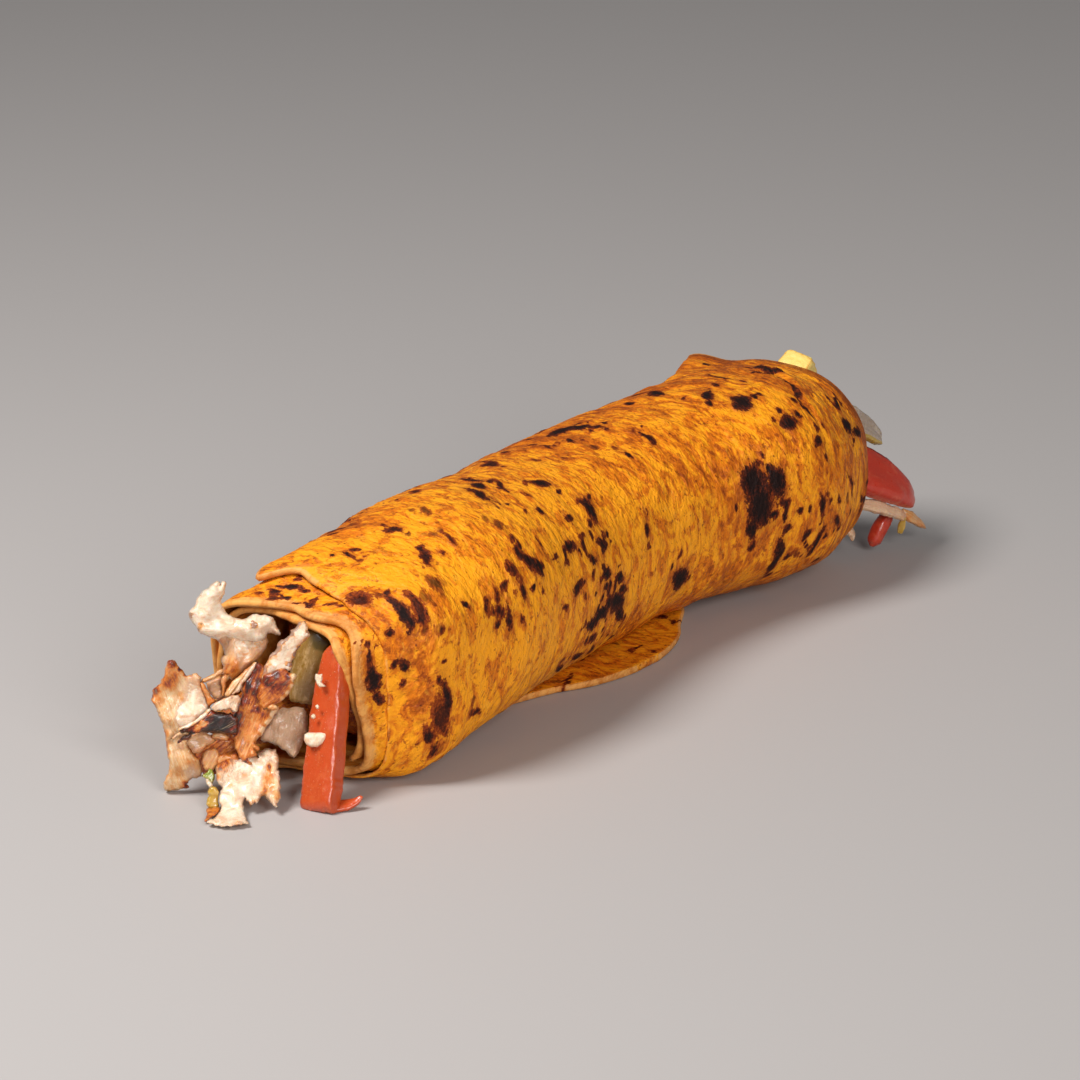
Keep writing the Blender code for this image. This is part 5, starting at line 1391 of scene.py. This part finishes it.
beads = scatter_tree()
juice = tomato_material("tomato_juice", (0.62, 0.11, 0.03), (0.70, 0.22, 0.09), (0.30, 0.026, 0.006))
scatter(strip, "tomato_wet_beads", "tomato", beads, Beads_per_cm2=80.0, Smallest_mm=0.06, Largest_mm=0.24,
        Where_above=0.75, Seed=5, Material=juice)

# ---------------------------------------------------------------------------------------------
# The pickled cucumber and the herb: thin pressed slices, translucent olive flesh with paler
# veins and a greener rind, two chopped bits of the same and a scrap of green leaf.
PICKLE_SLICE = (
    (-108.0, -2.9, 37.2, 4.0, 1.7), (-113.0, -2.4, 38.8, 4.0, 1.8), (-116.0, -0.9, 33.8, 4.5, 1.8),
    (-117.6, 0.3, 27.3, 4.4, 1.7), (-118.6, 0.9, 21.2, 3.2, 1.4),
)
FAR_SLAB = (
    (99.4, -17.8, 40.6, 5.3, 1.6), (103.0, -20.4, 41.3, 5.5, 1.6), (108.0, -23.6, 41.4, 5.6, 1.6),
    (114.0, -25.6, 38.8, 4.3, 1.5), (119.0, -27.0, 35.0, 3.1, 1.4), (121.6, -27.8, 32.9, 1.8, 1.1),
)
FAR_PICKLE_BIT = ((123.6, -35.0, 10.6, 0.5, 0.4), (124.1, -34.2, 8.8, 0.8, 0.6), (124.2, -33.6, 6.8, 1.1, 0.9),
                  (124.0, -33.3, 4.8, 0.7, 0.6))
NEAR_BIT = (
    (-18.6, -28.0), (-17.8, -26.8), (-17.0, -26.6), (-16.2, -27.0), (-15.6, -28.2), (-15.8, -30.0),
    (-15.4, -31.5), (-15.9, -32.6), (-17.0, -32.6), (-18.2, -32.3), (-18.9, -31.4), (-18.8, -30.2),
    (-18.3, -29.2),
)
HERB = (
    (-20.1, -24.2), (-19.4, -23.7), (-18.6, -23.2), (-18.1, -22.4), (-17.5, -22.5), (-16.9, -23.3),
    (-16.8, -24.5), (-16.8, -25.6), (-17.2, -26.5), (-17.9, -26.1), (-18.6, -25.0), (-19.4, -24.6),
)


def pickle_material(name, flesh, pale, rind):
    paint = Paint(name, Subsurface_Weight=0.35, Subsurface_Scale=0.002, Subsurface_Radius=(0.8, 0.6, 0.25),
                  Coat_Weight=0.5, Coat_Roughness=0.1)
    fibre = paint.mark_vector("fibre")
    veins = paint.noise(fibre, (7.0, 1.3, 1.5), detail=3, rough=0.6, bend=0.8)
    grain = paint.noise(paint.place(), 0.8, detail=3, rough=0.6)
    colour = paint.mix(flesh, pale, (veins * 0.8 + grain * 0.35).over(0.52, 0.76) * 0.8)
    # Where browned is high the rind colour shows; on the olive slice that colour is partly painted shade.
    colour = paint.mix(colour, rind, paint.mark("browned").over(0.3, 0.7))
    paint.feed("Base Color", colour)
    paint.feed("Roughness", 0.2 + grain * 0.2)
    paint.feed("Normal", paint.bump(veins + grain * 0.4, 0.5, 0.15))
    return paint.material


# The olive slice's rind colour is darker than the rind itself: painted shade, laid on the slice's top.
olive = pickle_material("pickled_cucumber", (0.30, 0.165, 0.035), (0.58, 0.38, 0.17), (0.10, 0.06, 0.004))
pale_pickle = pickle_material("pale_pickle", (0.42, 0.31, 0.23), (0.62, 0.50, 0.40), (0.46, 0.29, 0.05))
yellow = pickle_material("yellow_pepper", (0.52, 0.30, 0.04), (0.74, 0.52, 0.17), (0.30, 0.10, 0.01))
leaf = pickle_material("green_leaf", (0.22, 0.27, 0.03), (0.52, 0.42, 0.10), (0.55, 0.46, 0.20))
FIRM = {**FLESH, "Coarse_height": 0.3}
# The two spots on the slice's top take the dark rind colour: rind, and painted shade there.
serve(torn_piece("pickle_cut_slice", PICKLE_SLICE, MOUTH_OUT, 90, 60, squareness=3.4, fray=0.4, ragged=0.06,
                 wave=0.6, seed=61, browned=(0.0, (-113.5, -4.6, 38.6, 3.6, 0.8), (-113.0, -2.4, 40.0, 6.0, 0.6))),
      "pickle", "pickle_slice", 61, Material=olive, **FIRM)
serve(torn_piece("far_pickle_slab", FAR_SLAB, FAR_FACE, 100, 60, squareness=4.0, fray=0.4, ragged=0.05,
                 wave=0.35, skin=-1.0, seed=62),
      "pickle", "pickle_slab_far", 62, Material=pale_pickle, **FIRM)
serve(torn_piece("far_pickle_bit", FAR_PICKLE_BIT, MOUTH_OUT, 40, 28, squareness=3.0, fray=0.4, ragged=0.1,
                 wave=0.25, seed=63), "pickle", "pickle_bit_far", 63, Material=yellow, **{**FIRM, "Coarse_height": 0.12})
serve(torn_slice("near_yellow_bit", NEAR_BIT, ((-33.0, -2.0), (-26.0, -2.0)), 2.2, 0.9, wave=0.3, seed=64,
                 browned=(0.0,), spacing=0.3), "pickle", "pickle_bit_near", 64, Material=yellow, Coarse_height=0.15)
serve(torn_slice("herb_leaf", HERB, ((-27.0, -4.4), (-22.0, -5.2)), 0.7, 0.35, wave=0.5, seed=65,
                 browned=(0.0, (-17.4, -25.8, 0.9, 0.8)), spacing=0.3),
      "pickle", "herb_near", 65, Material=leaf, Coarse_height=0.08)

# ---------------------------------------------------------------------------------------------
# The fried potato: the end of one thick chip past the far rim, a cut block with a dry, blistered
# golden crust, browner on its edges.
FRY_CENTRE = (107.4, -6.1, 50.3)
FRY_SIZE = (16.0, 9.6, 9.6)
FRY_TURN = (12.0, -38.0, -6.0)
FRY_CUTS = 44


def fried_potato():
    """A rounded block of many small faces, dented where the crust has blistered."""
    build = bmesh.new()
    bmesh.ops.create_cube(build, size=1.0)
    bmesh.ops.subdivide_edges(build, edges=build.edges[:], cuts=FRY_CUTS, use_grid_fill=True)
    build.verts.ensure_lookup_table()
    spots = np.array([vertex.co[:] for vertex in build.verts]) * 2
    build.faces.ensure_lookup_table()
    faces = [[vertex.index for vertex in face.verts] for face in build.faces]
    build.free()
    corner = np.sort(abs(spots), axis=1)[:, 1]
    round_off = unit(spots) * 1.16
    spots = spots + (round_off - spots) * (0.10 + 0.35 * ease((corner - 0.55) / 0.45))[:, None]
    points = spots * np.array(FRY_SIZE) / 2
    edge = ease((corner - 0.72) / 0.28)
    points = points + unit(spots) * (0.45 * lumps(points, 3.2, 71) + 0.2 * lumps(points, 1.2, 72))[:, None]
    turn = np.array(Euler([math.radians(angle) for angle in FRY_TURN]).to_matrix())
    marks = {"fibre": points, "browned": edge * 0.6 + 0.1, "sauced": edge * 0}
    return make_mesh("fried_chip_end", points @ turn.T + FRY_CENTRE, faces, marks)


def potato_material():
    paint = Paint("fried_potato", Subsurface_Weight=0.1, Subsurface_Scale=0.0015)
    place = paint.place()
    clouds = paint.noise(place, 3.0, detail=4, rough=0.6, bend=0.4)
    grain = paint.noise(place, 0.7, detail=3, rough=0.65)
    crust = paint.mark("browned") + (clouds - 0.5) * 1.1 + (grain - 0.5) * 0.4
    colour = paint.mix((0.88, 0.62, 0.16), (0.74, 0.34, 0.05), crust.over(0.35, 0.9))
    paint.feed("Base Color", paint.mix(colour, (0.40, 0.12, 0.02), crust.over(0.85, 1.3) * 0.7))
    paint.feed("Roughness", 0.42 + grain * 0.2)
    paint.feed("Normal", paint.bump(grain + clouds, 0.6, 0.2))
    return paint.material


serve(fried_potato(), "potato", "fry_far", 70, Material=potato_material(), Long_size=1.4, Side_size=1.2,
      Coarse_height=0.16, Fine_size=0.5, Fine_height=0.06)
